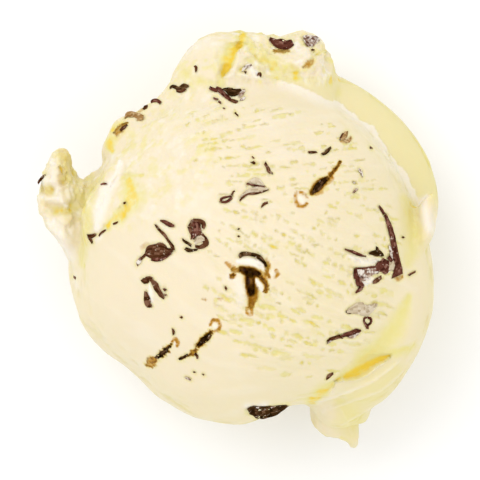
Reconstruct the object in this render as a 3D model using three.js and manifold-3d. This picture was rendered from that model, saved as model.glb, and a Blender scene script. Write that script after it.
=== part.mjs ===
// A scoop of cream-coloured ice cream with dark chocolate flakes, as it drops off the spoon:
// a squashed ball with a dragged, domed face on top, a smooth round belly under it that shows
// past the face as a shoulder, and torn flaps round the rim: a cleft lobe at the back, a curled
// ear on the left, and a wide flap that wraps the right side and ends in a drooping tail.
// Millimetres, +Z up. The origin is under the middle of the scoop, on the surface it rests on.
import * as THREE from "three";
import { mergeVertices } from "three/addons/utils/BufferGeometryUtils.js";
import Module from "manifold-3d";

const wasm = await Module();
wasm.setup();

// ---------------------------------------------------------------- driving dimensions
const HEIGHT = 50; // top of the dome over the resting surface
const FACE_RADIUS = 30.7; // the domed face, seen from above
const FACE_CENTRE = [1.9, -2.6];
const WAIST = 25; // height of the widest level of the ball
const BELLY_RADIUS = 30.3; // the smooth lower body
const BELLY_CENTRE = [6.4, 1.6];
const BELLY_WAIST = 19;
const BELLY_TOP = 14; // how far the belly reaches over its own waist
const BELLY_BOTTOM = 24; // and under it, before the flat spot is cut
const BALL_DETAIL = 16; // how finely the upper ball is divided
const BELLY_DETAIL = 9; // and the belly
const FLAKE_RISE = 0.8; // how far a flake stands out of the ice cream
const FLAKE_DEPTH = 1.6; // and how deep it is set in
const WELD = 1e-3; // corners closer than this are one

const ICE_CREAM = new THREE.MeshStandardMaterial({
  name: "ice_cream",
  color: new THREE.Color(0.97, 0.91, 0.72),
  roughness: 0.55,
  metalness: 0,
});

// ---------------------------------------------------------------- helpers
const radians = THREE.MathUtils.degToRad;

// A repeatable number from 0 to 1 for each whole-number corner of space.
function cornerValue(x, y, z, seed) {
  let h = Math.imul(x, 374761393) ^ Math.imul(y, 668265263);
  h ^= Math.imul(z, 2147483647) ^ Math.imul(seed, 1274126177);
  h = Math.imul(h ^ (h >>> 13), 1274126177);
  return ((h ^ (h >>> 16)) >>> 0) / 4294967295;
}

// Smooth noise from -1 to 1, with lumps about `size` across.
function lumps(point, size, seed) {
  const p = point.clone().divideScalar(size);
  const cell = p.clone().floor();
  const f = p.sub(cell);
  const ease = (t) => t * t * (3 - 2 * t);
  let sum = 0;
  for (let i = 0; i < 8; i++) {
    const [dx, dy, dz] = [i & 1, (i >> 1) & 1, i >> 2];
    const weight =
      (dx ? ease(f.x) : 1 - ease(f.x)) *
      (dy ? ease(f.y) : 1 - ease(f.y)) *
      (dz ? ease(f.z) : 1 - ease(f.z));
    sum += weight * cornerValue(cell.x + dx, cell.y + dy, cell.z + dz, seed);
  }
  return 2 * sum - 1;
}

// A geometry's shared corners, with only their positions kept.
function bare(geometry) {
  geometry.deleteAttribute("normal");
  geometry.deleteAttribute("uv");
  return mergeVertices(geometry, WELD);
}

function moveVertices(geometry, move) {
  const position = geometry.getAttribute("position");
  const point = new THREE.Vector3();
  for (let i = 0; i < position.count; i++) {
    point.fromBufferAttribute(position, i);
    const moved = move(point.clone(), i);
    position.setXYZ(i, moved.x, moved.y, moved.z);
  }
  return geometry;
}

function solid(geometry) {
  const merged = bare(geometry.clone());
  const vertProperties = new Float32Array(merged.getAttribute("position").array);
  const triVerts = new Uint32Array(merged.index.array);
  return new wasm.Manifold(
    new wasm.Mesh({ numProp: 3, vertProperties, triVerts }),
  );
}

function geometryOf(manifold) {
  const mesh = manifold.getMesh();
  const geometry = new THREE.BufferGeometry();
  geometry.setAttribute(
    "position",
    new THREE.BufferAttribute(new Float32Array(mesh.vertProperties), 3),
  );
  geometry.setIndex(new THREE.BufferAttribute(new Uint32Array(mesh.triVerts), 1));
  geometry.computeVertexNormals();
  return geometry;
}

// How far a point is outside a rounded mass, in about mm. Its underside can have a radius of its
// own, and its outline swellings and dents: each is [bearing, height, half width] in degrees and mm.
function outsideMass(point, { at, radii, under = radii[2], turn = 0, swell = [] }) {
  const p = point.clone().sub(new THREE.Vector3(...at));
  p.applyAxisAngle(new THREE.Vector3(0, 0, 1), -radians(turn));
  const size = new THREE.Vector3(radii[0], radii[1], p.z > 0 ? radii[2] : under);
  if (swell.length) {
    const bearing = THREE.MathUtils.radToDeg(Math.atan2(p.y, p.x));
    const level = (Math.hypot(p.x, p.y) / radii[0]) ** 3;
    for (const [where, height, width] of swell) {
      const off = ((bearing - where + 540) % 360) - 180;
      const more = level * height * Math.exp(-((off / width) ** 2));
      size.x += more;
      size.y += more;
    }
  }
  const near = p.clone().divide(size).length();
  const slope = p.divide(size.clone().multiply(size)).length();
  return slope > 0 ? (near * (near - 1)) / slope : -Math.min(...radii);
}

// The masses run into each other with rounded hollows, as soft ice cream does. The skin is drawn
// out from one centre: each corner of a fine ball is put where the line to it leaves the masses.
function blend({ centre, masses, detail, soft, rough = 0, grain = 5, seed = 1 }) {
  const REACH = 60;
  const STEP = 0.8;
  const outside = (p) =>
    masses.reduce((nearest, mass) => {
      const d = outsideMass(p, mass);
      const k = mass.soft ?? soft;
      const h = Math.max(k - Math.abs(nearest - d), 0) / k;
      return Math.min(nearest, d) - (h * h * k) / 4;
    }, REACH) - rough * lumps(p, grain, seed);
  const geometry = bare(new THREE.IcosahedronGeometry(1, detail));
  const middle = new THREE.Vector3(...centre);
  moveVertices(geometry, (direction) => {
    const at = (r) => middle.clone().addScaledVector(direction, r);
    let out = REACH;
    while (out > STEP && outside(at(out - STEP)) > 0) out -= STEP;
    let low = out - STEP;
    for (let half = 0; half < 10; half++) {
      const mid = (low + out) / 2;
      if (outside(at(mid)) > 0) out = mid;
      else low = mid;
    }
    return at(out);
  });
  return solid(geometry);
}

// A single small rounded lump.
function lump({ at, radii, turn = 0, rough = 0, grain = 4, detail = 3, seed = 1 }) {
  return blend({ centre: at, masses: [{ at, radii, turn }], detail, soft: 1, rough, grain, seed });
}

// A fold or flap that follows a path. Each stop is [x, y, z, half width, half height]; both ends close.
function fold({ stops, around = 10, along = 18, ends = 0.12, rough = 0, grain = 3, seed = 1 }) {
  const path = new THREE.CatmullRomCurve3(stops.map(([x, y, z]) => new THREE.Vector3(x, y, z)));
  const sizes = new THREE.CatmullRomCurve3(stops.map(([, , , w, h]) => new THREE.Vector3(w, h, 0)));
  const geometry = new THREE.SphereGeometry(1, around, along);
  moveVertices(geometry, (p) => {
    const t = Math.acos(THREE.MathUtils.clamp(p.y, -1, 1)) / Math.PI;
    const turn = Math.atan2(p.z, p.x);
    const nearEnd = Math.min(t, 1 - t) / ends;
    const close = nearEnd < 1 ? Math.sqrt(Math.max(0, 1 - (1 - nearEnd) ** 2)) : 1;
    const tangent = path.getTangent(t);
    const side = new THREE.Vector3(-tangent.y, tangent.x, 0).normalize();
    const up = new THREE.Vector3().crossVectors(tangent, side).normalize();
    const size = sizes.getPoint(t);
    const centre = path.getPoint(t);
    const offset = side
      .multiplyScalar(Math.cos(turn) * size.x * close)
      .addScaledVector(up, Math.sin(turn) * size.y * close);
    const uneven = 1 + rough * lumps(centre.clone().add(offset), grain, seed);
    return centre.add(offset.multiplyScalar(uneven));
  });
  return solid(geometry);
}

// ---------------------------------------------------------------- the masses
// The domed face with what runs into it: the lobe at the back, a smooth left half and a craggy
// right half; the torn edge at the back left; the web under the ear; and the flap on the right,
// which leaves the face at the front and widens into the tail.
function upperBall() {
  const FACE_SWELL = [
    [200, 1.7, 16],
    [226, -1.2, 9],
    [250, 0.5, 14],
    [285, -3.0, 11],
  ];
  const masses = [
    {
      at: [...FACE_CENTRE, WAIST],
      radii: [FACE_RADIUS, FACE_RADIUS, HEIGHT - WAIST],
      under: WAIST + 3,
      swell: FACE_SWELL,
    },
    // lobe
    { at: [-4.0, 27.2, 24.5], radii: [8.4, 10.4, 9.5], turn: -24 },
    { at: [2.4, 30.4, 23.5], radii: [5.0, 6.5, 8.5] },
    { at: [11.2, 29.4, 23], radii: [6.2, 7.2, 8.5], turn: 4 },
    // torn edge
    { at: [-12.0, 24.5, 27], radii: [3.2, 2.4, 4], turn: 30, soft: 2 },
    { at: [-16.2, 22.0, 27], radii: [3.0, 2.3, 4], turn: 35, soft: 2 },
    { at: [-20.3, 18.8, 26.5], radii: [2.9, 3.6, 4.5], turn: -30, soft: 2 },
    { at: [-22.0, 15.8, 26], radii: [2.6, 2.4, 4], soft: 2 },
    // web under the ear
    { at: [-25.6, 4.6, 21], radii: [4.4, 8.0, 8.5], turn: 10, soft: 5 },
    { at: [-26.0, -3.0, 19], radii: [4.2, 8.0, 8], turn: -4, soft: 5 },
    // right side and flap
    { at: [27.4, -0.6, 27], radii: [5.4, 6.0, 7], turn: 8 },
    { at: [28.0, -9.0, 26], radii: [6.4, 8.6, 9.5], turn: 0 },
    { at: [27.2, -17.0, 25], radii: [5.6, 7.6, 10], turn: -25 },
    { at: [23.4, -24.0, 23], radii: [5.4, 7.6, 9.5], turn: -44 },
    { at: [17.8, -29.6, 19.5], radii: [4.8, 4.6, 7], turn: -30, soft: 3 },
  ];
  return blend({
    centre: [...FACE_CENTRE, WAIST - 1],
    masses,
    detail: BALL_DETAIL,
    soft: 4,
    rough: 0.35,
    grain: 6,
    seed: 3,
  });
}

// The smooth belly: it shows past the face at the back right as a shoulder.
function belly() {
  const [x, y] = BELLY_CENTRE;
  const BELLY_SWELL = [
    [-12, -2.6, 12],
    [-45, -5.0, 25],
    [-90, -5.0, 35],
    [180, -3.0, 50],
    [40, -0.5, 8],
  ];
  const masses = [
    {
      at: [x, y, BELLY_WAIST],
      radii: [BELLY_RADIUS, BELLY_RADIUS, BELLY_TOP],
      under: BELLY_BOTTOM,
      swell: BELLY_SWELL,
    },
  ];
  return blend({
    centre: [x, y, BELLY_WAIST - 1],
    masses,
    detail: BELLY_DETAIL,
    soft: 5,
    rough: 0.25,
    grain: 14,
    seed: 9,
  });
}

// The ear on the left, curled up clear of the web, and the fold between web and face.
function ear() {
  return [
    fold({
      stops: [
        [-28.0, -7.0, 20, 1.2, 6.0],
        [-29.6, -1.6, 23, 1.9, 7.0],
        [-31.8, 3.4, 25, 3.2, 7.5],
        [-32.4, 8.6, 27, 4.1, 7.0],
        [-32.2, 12.4, 29, 2.4, 5.0],
        [-32.1, 16.8, 30.8, 2.0, 3.4],
      ],
      ends: 0.1,
      rough: 0.1,
      seed: 31,
    }),
    fold({
      stops: [
        [-20.8, 13.6, 33.5, 1.4, 2.6],
        [-23.0, 10.2, 33.5, 1.8, 3.6],
        [-25.0, 6.6, 33.0, 2.1, 4.0],
        [-26.2, 2.8, 32.4, 1.8, 3.6],
        [-26.6, -1.6, 31.2, 1.2, 2.6],
      ],
      rough: 0.1,
      seed: 33,
    }),
  ];
}

// The raised point at the back end of the flap, and the drooping tip of its tail.
function points() {
  return [
    fold({
      stops: [
        [34.6, 8.4, 34.6, 0.5, 0.8],
        [33.4, 5.4, 32.6, 1.4, 2.8],
        [33.0, 2.0, 30.4, 2.0, 4.6],
        [31.6, -2.6, 28.4, 1.2, 3.0],
      ],
      along: 12,
      rough: 0.12,
      seed: 51,
    }),
    fold({
      stops: [
        [21.6, -26.6, 21.0, 4.4, 4.6],
        [19.1, -30.6, 18.0, 5.0, 4.0],
        [18.6, -33.2, 15.8, 4.3, 2.8],
        [19.6, -35.4, 14.0, 2.5, 1.8],
        [20.9, -37.7, 12.4, 0.6, 0.9],
      ],
      along: 14,
      ends: 0.08,
      rough: 0.1,
      seed: 52,
    }),
  ];
}

// ---------------------------------------------------------------- creases and hollows
function creases() {
  return [
    // Between the face and the flap on the right, deepest at the front.
    fold({
      stops: [
        [29.4, -12.4, 36.0, 0.8, 1.4],
        [26.6, -17.8, 35.6, 1.6, 2.6],
        [22.4, -22.4, 34.8, 1.8, 3.6],
        [18.4, -25.2, 33.4, 1.3, 4.0],
        [13.4, -28.4, 30.2, 1.0, 4.0],
      ],
      around: 8,
      along: 16,
    }),
    // Its branch, over the top edge of the lower sheet.
    fold({
      stops: [
        [24.4, -21.6, 35.4, 1.2, 2.0],
        [27.4, -21.0, 35.2, 1.0, 1.6],
        [30.6, -20.6, 33.6, 0.6, 1.2],
      ],
      around: 8,
      along: 8,
    }),
    // Between the inner fold and the face on the left.
    fold({
      stops: [
        [-19.4, 10.8, 39.6, 0.9, 1.6],
        [-20.6, 8.6, 39.4, 1.6, 3.4],
        [-21.6, 5.4, 39.0, 1.7, 4.2],
        [-23.0, 1.4, 37.0, 1.0, 2.4],
      ],
      around: 8,
      along: 10,
    }),
    // The cleft in the back lobe.
    fold({
      stops: [
        [0.9, 37.0, 30.0, 0.9, 3.2],
        [-0.8, 33.2, 31.6, 1.2, 3.6],
        [-2.8, 29.2, 33.4, 0.8, 2.6],
      ],
      around: 8,
      along: 10,
    }),
  ];
}

// Hollows that flakes have torn open in the face: [x, y, length, width, bearing, depth].
const HOLLOWS = [
  [1.9, -5.4, 4.6, 2.6, -6, 2.6],
  [2.3, -8.6, 1.8, 5.4, 4, 2.4],
  [14.6, 9.4, 6.2, 1.5, 42, 2.2],
  [-14.3, -20.6, 5.0, 1.2, 46, 1.8],
  [-6.6, -18.8, 4.6, 1.7, 44, 2.0],
];

// ---------------------------------------------------------------- chocolate
// Flakes that show from above: [x, y, length, width, bearing, bend].
const FACE_FLAKES = [
  // the blade and the broken plate beside it on the right
  [27.8, -0.6, 10.6, 1.3, -76, 8],
  [26.9, -4.6, 2.7, 2.4, 40, 0],
  [24.6, -2.4, 2.2, 1.2, 20, 0],
  [23.2, -6.6, 5.2, 2.8, 22, 0],
  [21.0, -2.5, 4.0, 0.9, -22, 10],
  [24.8, -7.6, 1.9, 0.8, 30, 0],
  // under them
  [22.2, -12.2, 3.6, 1.6, 24, 20],
  [22.9, -15.0, 2.2, 1.2, -70, 30],
  [18.9, -17.2, 6.2, 1.3, 17, -10],
  // the hooked flake, its bar, the curl and the folded flake on the left
  [-14.5, -2.2, 5.2, 2.5, 14, 40],
  [-13.2, 1.0, 4.4, 0.9, -52, -40],
  [-13.0, 2.8, 3.0, 0.7, -25, 0],
  [-7.6, 2.2, 3.6, 1.9, 72, 100],
  [-7.8, -1.2, 4.2, 1.9, 10, 20],
  [-15.8, -7.8, 4.6, 1.0, -58, -20],
  [-16.4, -10.6, 2.9, 0.9, -76, 0],
  // the chips in the middle and behind
  [2.9, 9.8, 3.4, 1.1, -14, 16],
  [2.2, 8.0, 5.2, 1.0, 18, -30],
  [-2.2, 7.8, 2.6, 1.1, 32, 0],
  [5.3, 12.8, 1.9, 1.3, -50, 0],
  [1.9, 14.0, 1.5, 1.1, -40, 0],
  [15.8, 16.0, 2.1, 1.0, 45, 0],
  [19.0, 18.6, 2.4, 2.2, 50, 0],
  // chips sunk in the hollows
  [2.1, -5.6, 4.2, 1.5, -14, -30],
  [13.8, 8.8, 4.2, 1.1, 42, 0],
  [-14.4, -20.8, 3.6, 0.9, 46, 0],
  [-6.4, -18.4, 3.4, 1.2, 44, 0],
  [-9.4, -21.0, 3.6, 0.8, 24, 0],
  // round the rim
  [-2.2, 26.4, 6.4, 2.4, -8, 20],
  [-10.8, 27.2, 3.7, 1.3, 3, 0],
  [7.6, 35.2, 4.2, 1.6, -6, 0],
  [12.7, 35.8, 2.8, 1.9, -4, 0],
  [-18.8, 22.0, 3.6, 1.3, 34, 30],
  [-20.8, 19.6, 2.2, 1.0, 42, 0],
  [-26.6, 0.4, 1.7, 1.4, -30, 0],
  [4.8, -31.4, 7.0, 2.4, 6, -16],
];

// Flakes on the sides and back, spread by a repeatable rule. Those that would show from above
// are left out: the flakes there are the ones listed.
const SIDE_FLAKES = 34;
const SIDE_FLAKES_LOWEST = 5;
const SIDE_FLAKES_HIGHEST = 25;
const SIDE_COVER = 0.4; // how much further out the ice cream over a side flake reaches

function flake({ length, width, bend, seed }) {
  const SEGMENTS = 2;
  const depth = FLAKE_RISE + FLAKE_DEPTH;
  const geometry = bare(new THREE.BoxGeometry(length, width, depth, SEGMENTS, 1, 1));
  return moveVertices(geometry, (p, i) => {
    const along = (2 * p.x) / length;
    const ragged = 0.5 + 0.5 * cornerValue(i >> 1, 3, 5, seed);
    p.y *= 1 - 0.55 * along * along * ragged;
    p.y += 0.18 * width * (cornerValue(i >> 1, 7, 11, seed) - 0.5);
    const arc = radians(bend) * along * 0.5;
    p.y += (length / 4) * Math.sin(Math.abs(arc)) * Math.sign(bend || 1);
    p.z += (FLAKE_RISE - FLAKE_DEPTH) / 2 - (p.z > 0 ? 0.25 * Math.abs(along) : 0);
    return p;
  });
}

// Whether the ice cream reaches out over a flake that is set where a level ray meets it.
function covered(body, origin, direction) {
  const [hit] = new THREE.Raycaster(origin, direction).intersectObject(body);
  const tip = hit.point.clone().addScaledVector(direction, -FLAKE_RISE - SIDE_COVER);
  const down = new THREE.Raycaster(tip.clone().setZ(2 * HEIGHT), new THREE.Vector3(0, 0, -1));
  return down.intersectObject(body).length > 0;
}

// Sets a flake into the surface that a ray meets, turned to its bearing round the surface's normal.
function setFlake(body, origin, direction, up, shape) {
  const ray = new THREE.Raycaster(origin, direction.clone().normalize());
  const [hit] = ray.intersectObject(body);
  const normal = hit.face.normal.clone().lerp(direction.clone().negate().normalize(), 0.35).normalize();
  const across = new THREE.Vector3().crossVectors(up, normal).normalize();
  const ahead = new THREE.Vector3().crossVectors(normal, across).normalize();
  const bearing = radians(shape.bearing);
  const x = across.clone().multiplyScalar(Math.cos(bearing)).addScaledVector(ahead, Math.sin(bearing));
  const y = new THREE.Vector3().crossVectors(normal, x);
  const place = new THREE.Matrix4().makeBasis(x, y, normal).setPosition(hit.point);
  return solid(flake(shape).applyMatrix4(place));
}

function flakes(body) {
  const DOWN = new THREE.Vector3(0, 0, -1);
  const BACK = new THREE.Vector3(0, 1, 0);
  const set = FACE_FLAKES.map(([x, y, length, width, bearing, bend], seed) => {
    const above = new THREE.Vector3(x, y, 2 * HEIGHT);
    return setFlake(body, above, DOWN, BACK, { length, width, bearing, bend, seed });
  });
  const GOLDEN_TURN = 137.5; // spreads the side flakes evenly round
  for (let i = 0; i < SIDE_FLAKES; i++) {
    const round = radians(i * GOLDEN_TURN);
    const share = (i + 0.5) / SIDE_FLAKES;
    const height = THREE.MathUtils.lerp(SIDE_FLAKES_LOWEST, SIDE_FLAKES_HIGHEST, share);
    const out = new THREE.Vector3(Math.cos(round), Math.sin(round), 0);
    const start = out.clone().multiplyScalar(2 * HEIGHT).setZ(height);
    const inward = out.clone().negate();
    if (!covered(body, start, inward)) continue;
    set.push(
      setFlake(body, start, inward, new THREE.Vector3(0, 0, 1), {
        length: 2.2 + 3.6 * cornerValue(i, 1, 0, 5) ** 2,
        width: 0.8 + 1.2 * cornerValue(i, 2, 0, 5),
        bearing: 180 * cornerValue(i, 3, 0, 5),
        bend: 40 * (cornerValue(i, 4, 0, 5) - 0.5),
        seed: 100 + i,
      }),
    );
  }
  return set;
}

// ---------------------------------------------------------------- the whole
// The outer skin alone, without sealed hollows, loose scraps or needless tiny faces.
function oneBody(manifold) {
  const TOLERANCE = 0.07;
  const MOST_PASSES = 12; // welding corners can pinch off one more scrap, so it is repeated
  let body = manifold.simplify(TOLERANCE);
  for (let pass = 0; pass < MOST_PASSES; pass++) {
    const before = body.numTri();
    [body] = solid(geometryOf(body)).decompose().sort((a, b) => b.volume() - a.volume());
    if (body.numTri() === before) break;
  }
  return body;
}

function hollowOut(body) {
  const mesh = new THREE.Mesh(geometryOf(body), ICE_CREAM);
  const cuts = HOLLOWS.map(([x, y, length, width, bearing, depth]) => {
    const down = new THREE.Vector3(0, 0, -1);
    const [hit] = new THREE.Raycaster(new THREE.Vector3(x, y, 2 * HEIGHT), down).intersectObject(mesh);
    return lump({ at: hit.point.toArray(), radii: [length / 2, width / 2, depth], turn: bearing, detail: 2 });
  });
  return body.subtract(wasm.Manifold.union(cuts));
}

function scoop() {
  const masses = [upperBall(), belly(), ...ear(), ...points()];
  const REACH = 200;
  const underside = new THREE.BoxGeometry(REACH, REACH, REACH).translate(0, 0, -REACH / 2);
  const whole = wasm.Manifold.union(masses).subtract(wasm.Manifold.union(creases()));
  const body = hollowOut(whole).subtract(solid(underside));
  const mesh = new THREE.Mesh(geometryOf(body), ICE_CREAM);
  const geometry = geometryOf(oneBody(wasm.Manifold.union([body, ...flakes(mesh)])));
  geometry.computeBoundingBox();
  const middle = geometry.boundingBox.getCenter(new THREE.Vector3());
  return geometry.translate(-middle.x, -middle.y, 0);
}

const scoopMesh = new THREE.Mesh(scoop(), ICE_CREAM);
scoopMesh.name = "scoop";

const part = new THREE.Group();
part.name = "ice_cream_scoop";
part.add(scoopMesh);

export default part;
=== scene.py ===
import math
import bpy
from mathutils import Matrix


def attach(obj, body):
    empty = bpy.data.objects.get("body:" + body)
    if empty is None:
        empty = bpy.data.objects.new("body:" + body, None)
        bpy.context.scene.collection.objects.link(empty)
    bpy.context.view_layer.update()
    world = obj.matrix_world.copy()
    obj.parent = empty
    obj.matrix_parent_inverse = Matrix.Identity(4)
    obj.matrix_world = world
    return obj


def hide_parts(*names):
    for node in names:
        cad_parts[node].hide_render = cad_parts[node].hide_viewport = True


bl_info = {
    "name": "Ice cream scoop",
    "version": (1, 0, 0),
    "blender": (4, 5, 0),
    "location": "3D View > Sidebar > Ice cream",
    "description": "Makes a scoop of cream-coloured ice cream with dark chocolate flakes",
    "category": "Add Mesh",
}

import bmesh
import bpy
import numpy as np
from mathutils import Vector
from mathutils.bvhtree import BVHTree

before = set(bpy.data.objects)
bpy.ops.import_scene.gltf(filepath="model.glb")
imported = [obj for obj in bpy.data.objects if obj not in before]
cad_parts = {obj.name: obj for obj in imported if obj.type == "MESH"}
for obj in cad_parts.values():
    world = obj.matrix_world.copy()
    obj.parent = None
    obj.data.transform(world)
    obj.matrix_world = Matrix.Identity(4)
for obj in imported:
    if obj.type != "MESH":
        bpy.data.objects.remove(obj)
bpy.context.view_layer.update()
MM = 0.001

# ------------------------------------------------------------------ settings


class ScoopSizes(bpy.types.PropertyGroup):
    """Sizes of the scoop that a user may want to change."""

    dome_height: bpy.props.FloatProperty(
        name="Dome height",
        description="Top of the dome over the surface it rests on",
        default=0.050,
        unit="LENGTH",
    )
    face_radius: bpy.props.FloatProperty(
        name="Face radius",
        description="Radius of the dragged face, seen from above",
        default=0.0307,
        unit="LENGTH",
    )
    fineness: bpy.props.FloatProperty(
        name="Fineness",
        description="Length of a mesh edge of the ice cream, halved on the face",
        default=0.00055,
        unit="LENGTH",
    )
    pit_depth: bpy.props.FloatProperty(
        name="Pit depth",
        description="Depth of the deepest pits dragged into the face",
        default=0.00045,
        unit="LENGTH",
    )
    pit_count: bpy.props.IntProperty(
        name="Pits",
        description="Number of pits tried for over the face",
        default=1400,
        min=0,
    )


class ScoopColours(bpy.types.PropertyGroup):
    """Colours of the ice cream and of the chocolate."""

    cream: bpy.props.FloatVectorProperty(
        name="Cream",
        description="Colour of the smooth ice cream",
        default=(0.780, 0.680, 0.500),
        subtype="COLOR",
        size=3,
    )
    # hollow and deep are also the colours of the painted shade that the yellow share carries
    hollow: bpy.props.FloatVectorProperty(
        name="Hollow",
        description="Colour that the cream deepens to in pits and shallow creases",
        default=(0.735, 0.655, 0.265),
        subtype="COLOR",
        size=3,
    )
    deep: bpy.props.FloatVectorProperty(
        name="Deep hollow",
        description="Colour of the deepest creases",
        default=(0.790, 0.575, 0.060),
        subtype="COLOR",
        size=3,
    )
    frost: bpy.props.FloatVectorProperty(
        name="Frost",
        description="Colour of the frosted, whiter cream",
        default=(0.830, 0.775, 0.670),
        subtype="COLOR",
        size=3,
    )
    # orange also colours the painted shade on the ear
    orange: bpy.props.FloatVectorProperty(
        name="Orange",
        description="Colour of cream faintly stained by chocolate",
        default=(0.480, 0.235, 0.014),
        subtype="COLOR",
        size=3,
    )
    stain: bpy.props.FloatVectorProperty(
        name="Stain",
        description="Colour of cream stained by melted chocolate",
        default=(0.190, 0.080, 0.008),
        subtype="COLOR",
        size=3,
    )
    chocolate: bpy.props.FloatVectorProperty(
        name="Chocolate",
        description="Colour of the dark chocolate",
        default=(0.050, 0.015, 0.004),
        subtype="COLOR",
        size=3,
    )


class StageSettings(bpy.types.PropertyGroup):
    """Camera, light and floor."""

    camera_height: bpy.props.FloatProperty(
        name="Camera height",
        description="Height of the camera over the floor",
        default=0.72,
        unit="LENGTH",
    )
    seen_width: bpy.props.FloatProperty(
        name="Seen width",
        description="Width of the view at the widest level of the scoop",
        default=0.0864,
        unit="LENGTH",
    )
    key_power: bpy.props.FloatProperty(
        name="Key light",
        description="Power of the large soft light, upper left of the picture",
        default=2.2,
        unit="POWER",
    )
    floor: bpy.props.FloatVectorProperty(
        name="Floor",
        description="Colour of the plain floor",
        default=(0.93, 0.93, 0.93),
        subtype="COLOR",
        size=3,
    )


# ------------------------------------------------------------------ noise

# Large odd numbers that scatter a corner's three places and the seed over 32 bits
SCATTER = [np.uint32(n) for n in (374761393, 668265263, 2147483647, 1274126177)]
LARGEST = 4294967295.0


def corner_value(x, y, z, seed):
    """A repeatable number from 0 to 1 for each whole-number corner of space."""
    h = np.uint32(0)
    for place, odd in zip((x, y, z, [seed]), SCATTER):
        h = h ^ np.asarray(place, dtype=np.int64).astype(np.uint32) * odd
    h = (h ^ (h >> np.uint32(13))) * SCATTER[-1]
    return (h ^ (h >> np.uint32(16))) / LARGEST


def lumps(points, size, seed):
    """Smooth noise from -1 to 1, with lumps about size across."""
    p = points / size
    cell = np.floor(p)
    f = p - cell
    ease = f * f * (3 - 2 * f)
    total = np.zeros(len(points))
    for i in range(8):
        d = np.array([i & 1, (i >> 1) & 1, i >> 2])
        weight = np.prod(np.where(d, ease, 1 - ease), axis=1)
        total += weight * corner_value(*(cell + d).T, seed)
    return 2 * total - 1


def layers(points, size, seed, count=3):
    """Noise with finer, fainter lumps on the coarse ones."""
    total = np.zeros(len(points))
    for i in range(count):
        total += lumps(points, size / 2**i, seed + 17 * i) / 2**i
    return total / (2 - 2.0 ** (1 - count))


def smooth_step(low, high, value):
    """0 below low, 1 above high, eased between."""
    t = np.clip((value - low) / (high - low), 0, 1)
    return t * t * (3 - 2 * t)


# ------------------------------------------------------------------ the masses, in mm

WAIST = 25.0  # over the floor, where the face is widest
FACE_CENTRE = (1.9, -2.6)  # right and up in the picture
BELLY_CENTRE = (6.4, 1.6)
CENTRING = (0.21, 0.21)  # puts the middle of the outline over the origin
PICTURE_MIDDLE = (0.09, -0.18)  # the exact middle, which the camera stands over


# Masses: middle, three half sizes, and what is other than a plain egg: the half height under the middle,
# degrees of turn, how softly it runs into the others, and swells of (bearing, mm more, degrees wide)
def upper_masses(face_radius, dome_height):
    """The domed face with the lobe, torn edge, web and flap that run into it."""
    swell = [(200, 1.7, 16), (226, -1.2, 9), (250, 0.5, 14), (285, -3.0, 11)]
    dome = dome_height - WAIST
    return [
        dict(at=(*FACE_CENTRE, WAIST), radii=(face_radius, face_radius, dome), under=WAIST + 3,
             swell=swell),
        # lobe
        dict(at=(-4.0, 27.2, 24.5), radii=(8.4, 10.4, 9.5), turn=-24),
        dict(at=(2.4, 30.4, 23.5), radii=(5.0, 6.5, 8.5)),
        dict(at=(10.8, 29.9, 23), radii=(6.3, 7.3, 8.5), turn=4),
        dict(at=(11.6, 25.4, 21), radii=(5.0, 4.4, 7), soft=5),
        # torn edge
        dict(at=(-12.0, 24.5, 27), radii=(3.2, 2.4, 4), turn=30, soft=2),
        dict(at=(-16.2, 22.0, 27), radii=(3.0, 2.3, 4), turn=35, soft=2),
        dict(at=(-20.3, 18.8, 26.5), radii=(2.9, 3.6, 4.5), turn=-30, soft=2),
        dict(at=(-22.0, 15.8, 26), radii=(2.6, 2.4, 4), soft=2),
        # web under the ear
        dict(at=(-25.4, 4.2, 21), radii=(4.2, 7.6, 8.5), turn=10, soft=3.5),
        dict(at=(-26.0, -3.0, 19), radii=(4.2, 8.0, 8), turn=-4, soft=5),
        # right side and flap
        dict(at=(27.4, -0.6, 27), radii=(5.4, 6.0, 7), turn=8),
        dict(at=(28.0, -9.0, 26), radii=(6.4, 8.6, 9.5)),
        dict(at=(27.2, -17.0, 25), radii=(5.6, 7.6, 10), turn=-25),
        dict(at=(23.4, -24.0, 23), radii=(5.4, 7.6, 9.5), turn=-44),
        dict(at=(17.8, -29.6, 19.5), radii=(4.8, 4.6, 7), turn=-30, soft=3),
    ]


def belly_masses():
    """The smooth lower body."""
    swell = [(-9, -3.1, 12), (-45, -5.0, 25), (-90, -5.0, 35), (180, -3.0, 50), (27, 0.45, 20)]
    return [dict(at=(*BELLY_CENTRE, 19), radii=(30.3, 30.3, 14), under=24, swell=swell)]


# Folds: stops of (x, y, z, half width, half height)
EAR = [
    (-28.0, -7.0, 20, 1.2, 6.0),
    (-29.6, -1.6, 23, 1.9, 7.0),
    (-31.7, 3.4, 25, 3.1, 7.5),
    (-32.2, 8.9, 27, 3.9, 7.0),
    (-32.1, 12.6, 29, 2.1, 5.0),
    (-32.0, 15.6, 30.6, 1.5, 3.2),
]
EAR_FOLD = [
    (-20.8, 13.6, 33.5, 1.4, 2.6),
    (-23.0, 10.2, 33.5, 1.8, 3.6),
    (-25.0, 6.6, 33.0, 2.1, 4.0),
    (-26.2, 2.8, 32.4, 1.8, 3.6),
    (-26.6, -1.6, 31.2, 1.2, 2.6),
]
EAR_FOOT = [
    (-27.6, -5.0, 21.0, 1.6, 5.0),
    (-28.6, 0.0, 23.6, 2.4, 6.2),
    (-29.2, 4.6, 25.0, 2.6, 6.0),
    (-29.2, 8.4, 25.0, 2.2, 4.6),
    (-28.9, 10.4, 24.4, 1.2, 2.6),
]
RAISED_POINT = [
    (34.6, 8.4, 34.6, 0.5, 0.8),
    (33.4, 5.4, 32.6, 1.4, 2.8),
    (33.0, 2.0, 30.4, 2.0, 4.6),
    (31.6, -2.6, 28.4, 1.2, 3.0),
]
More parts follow.
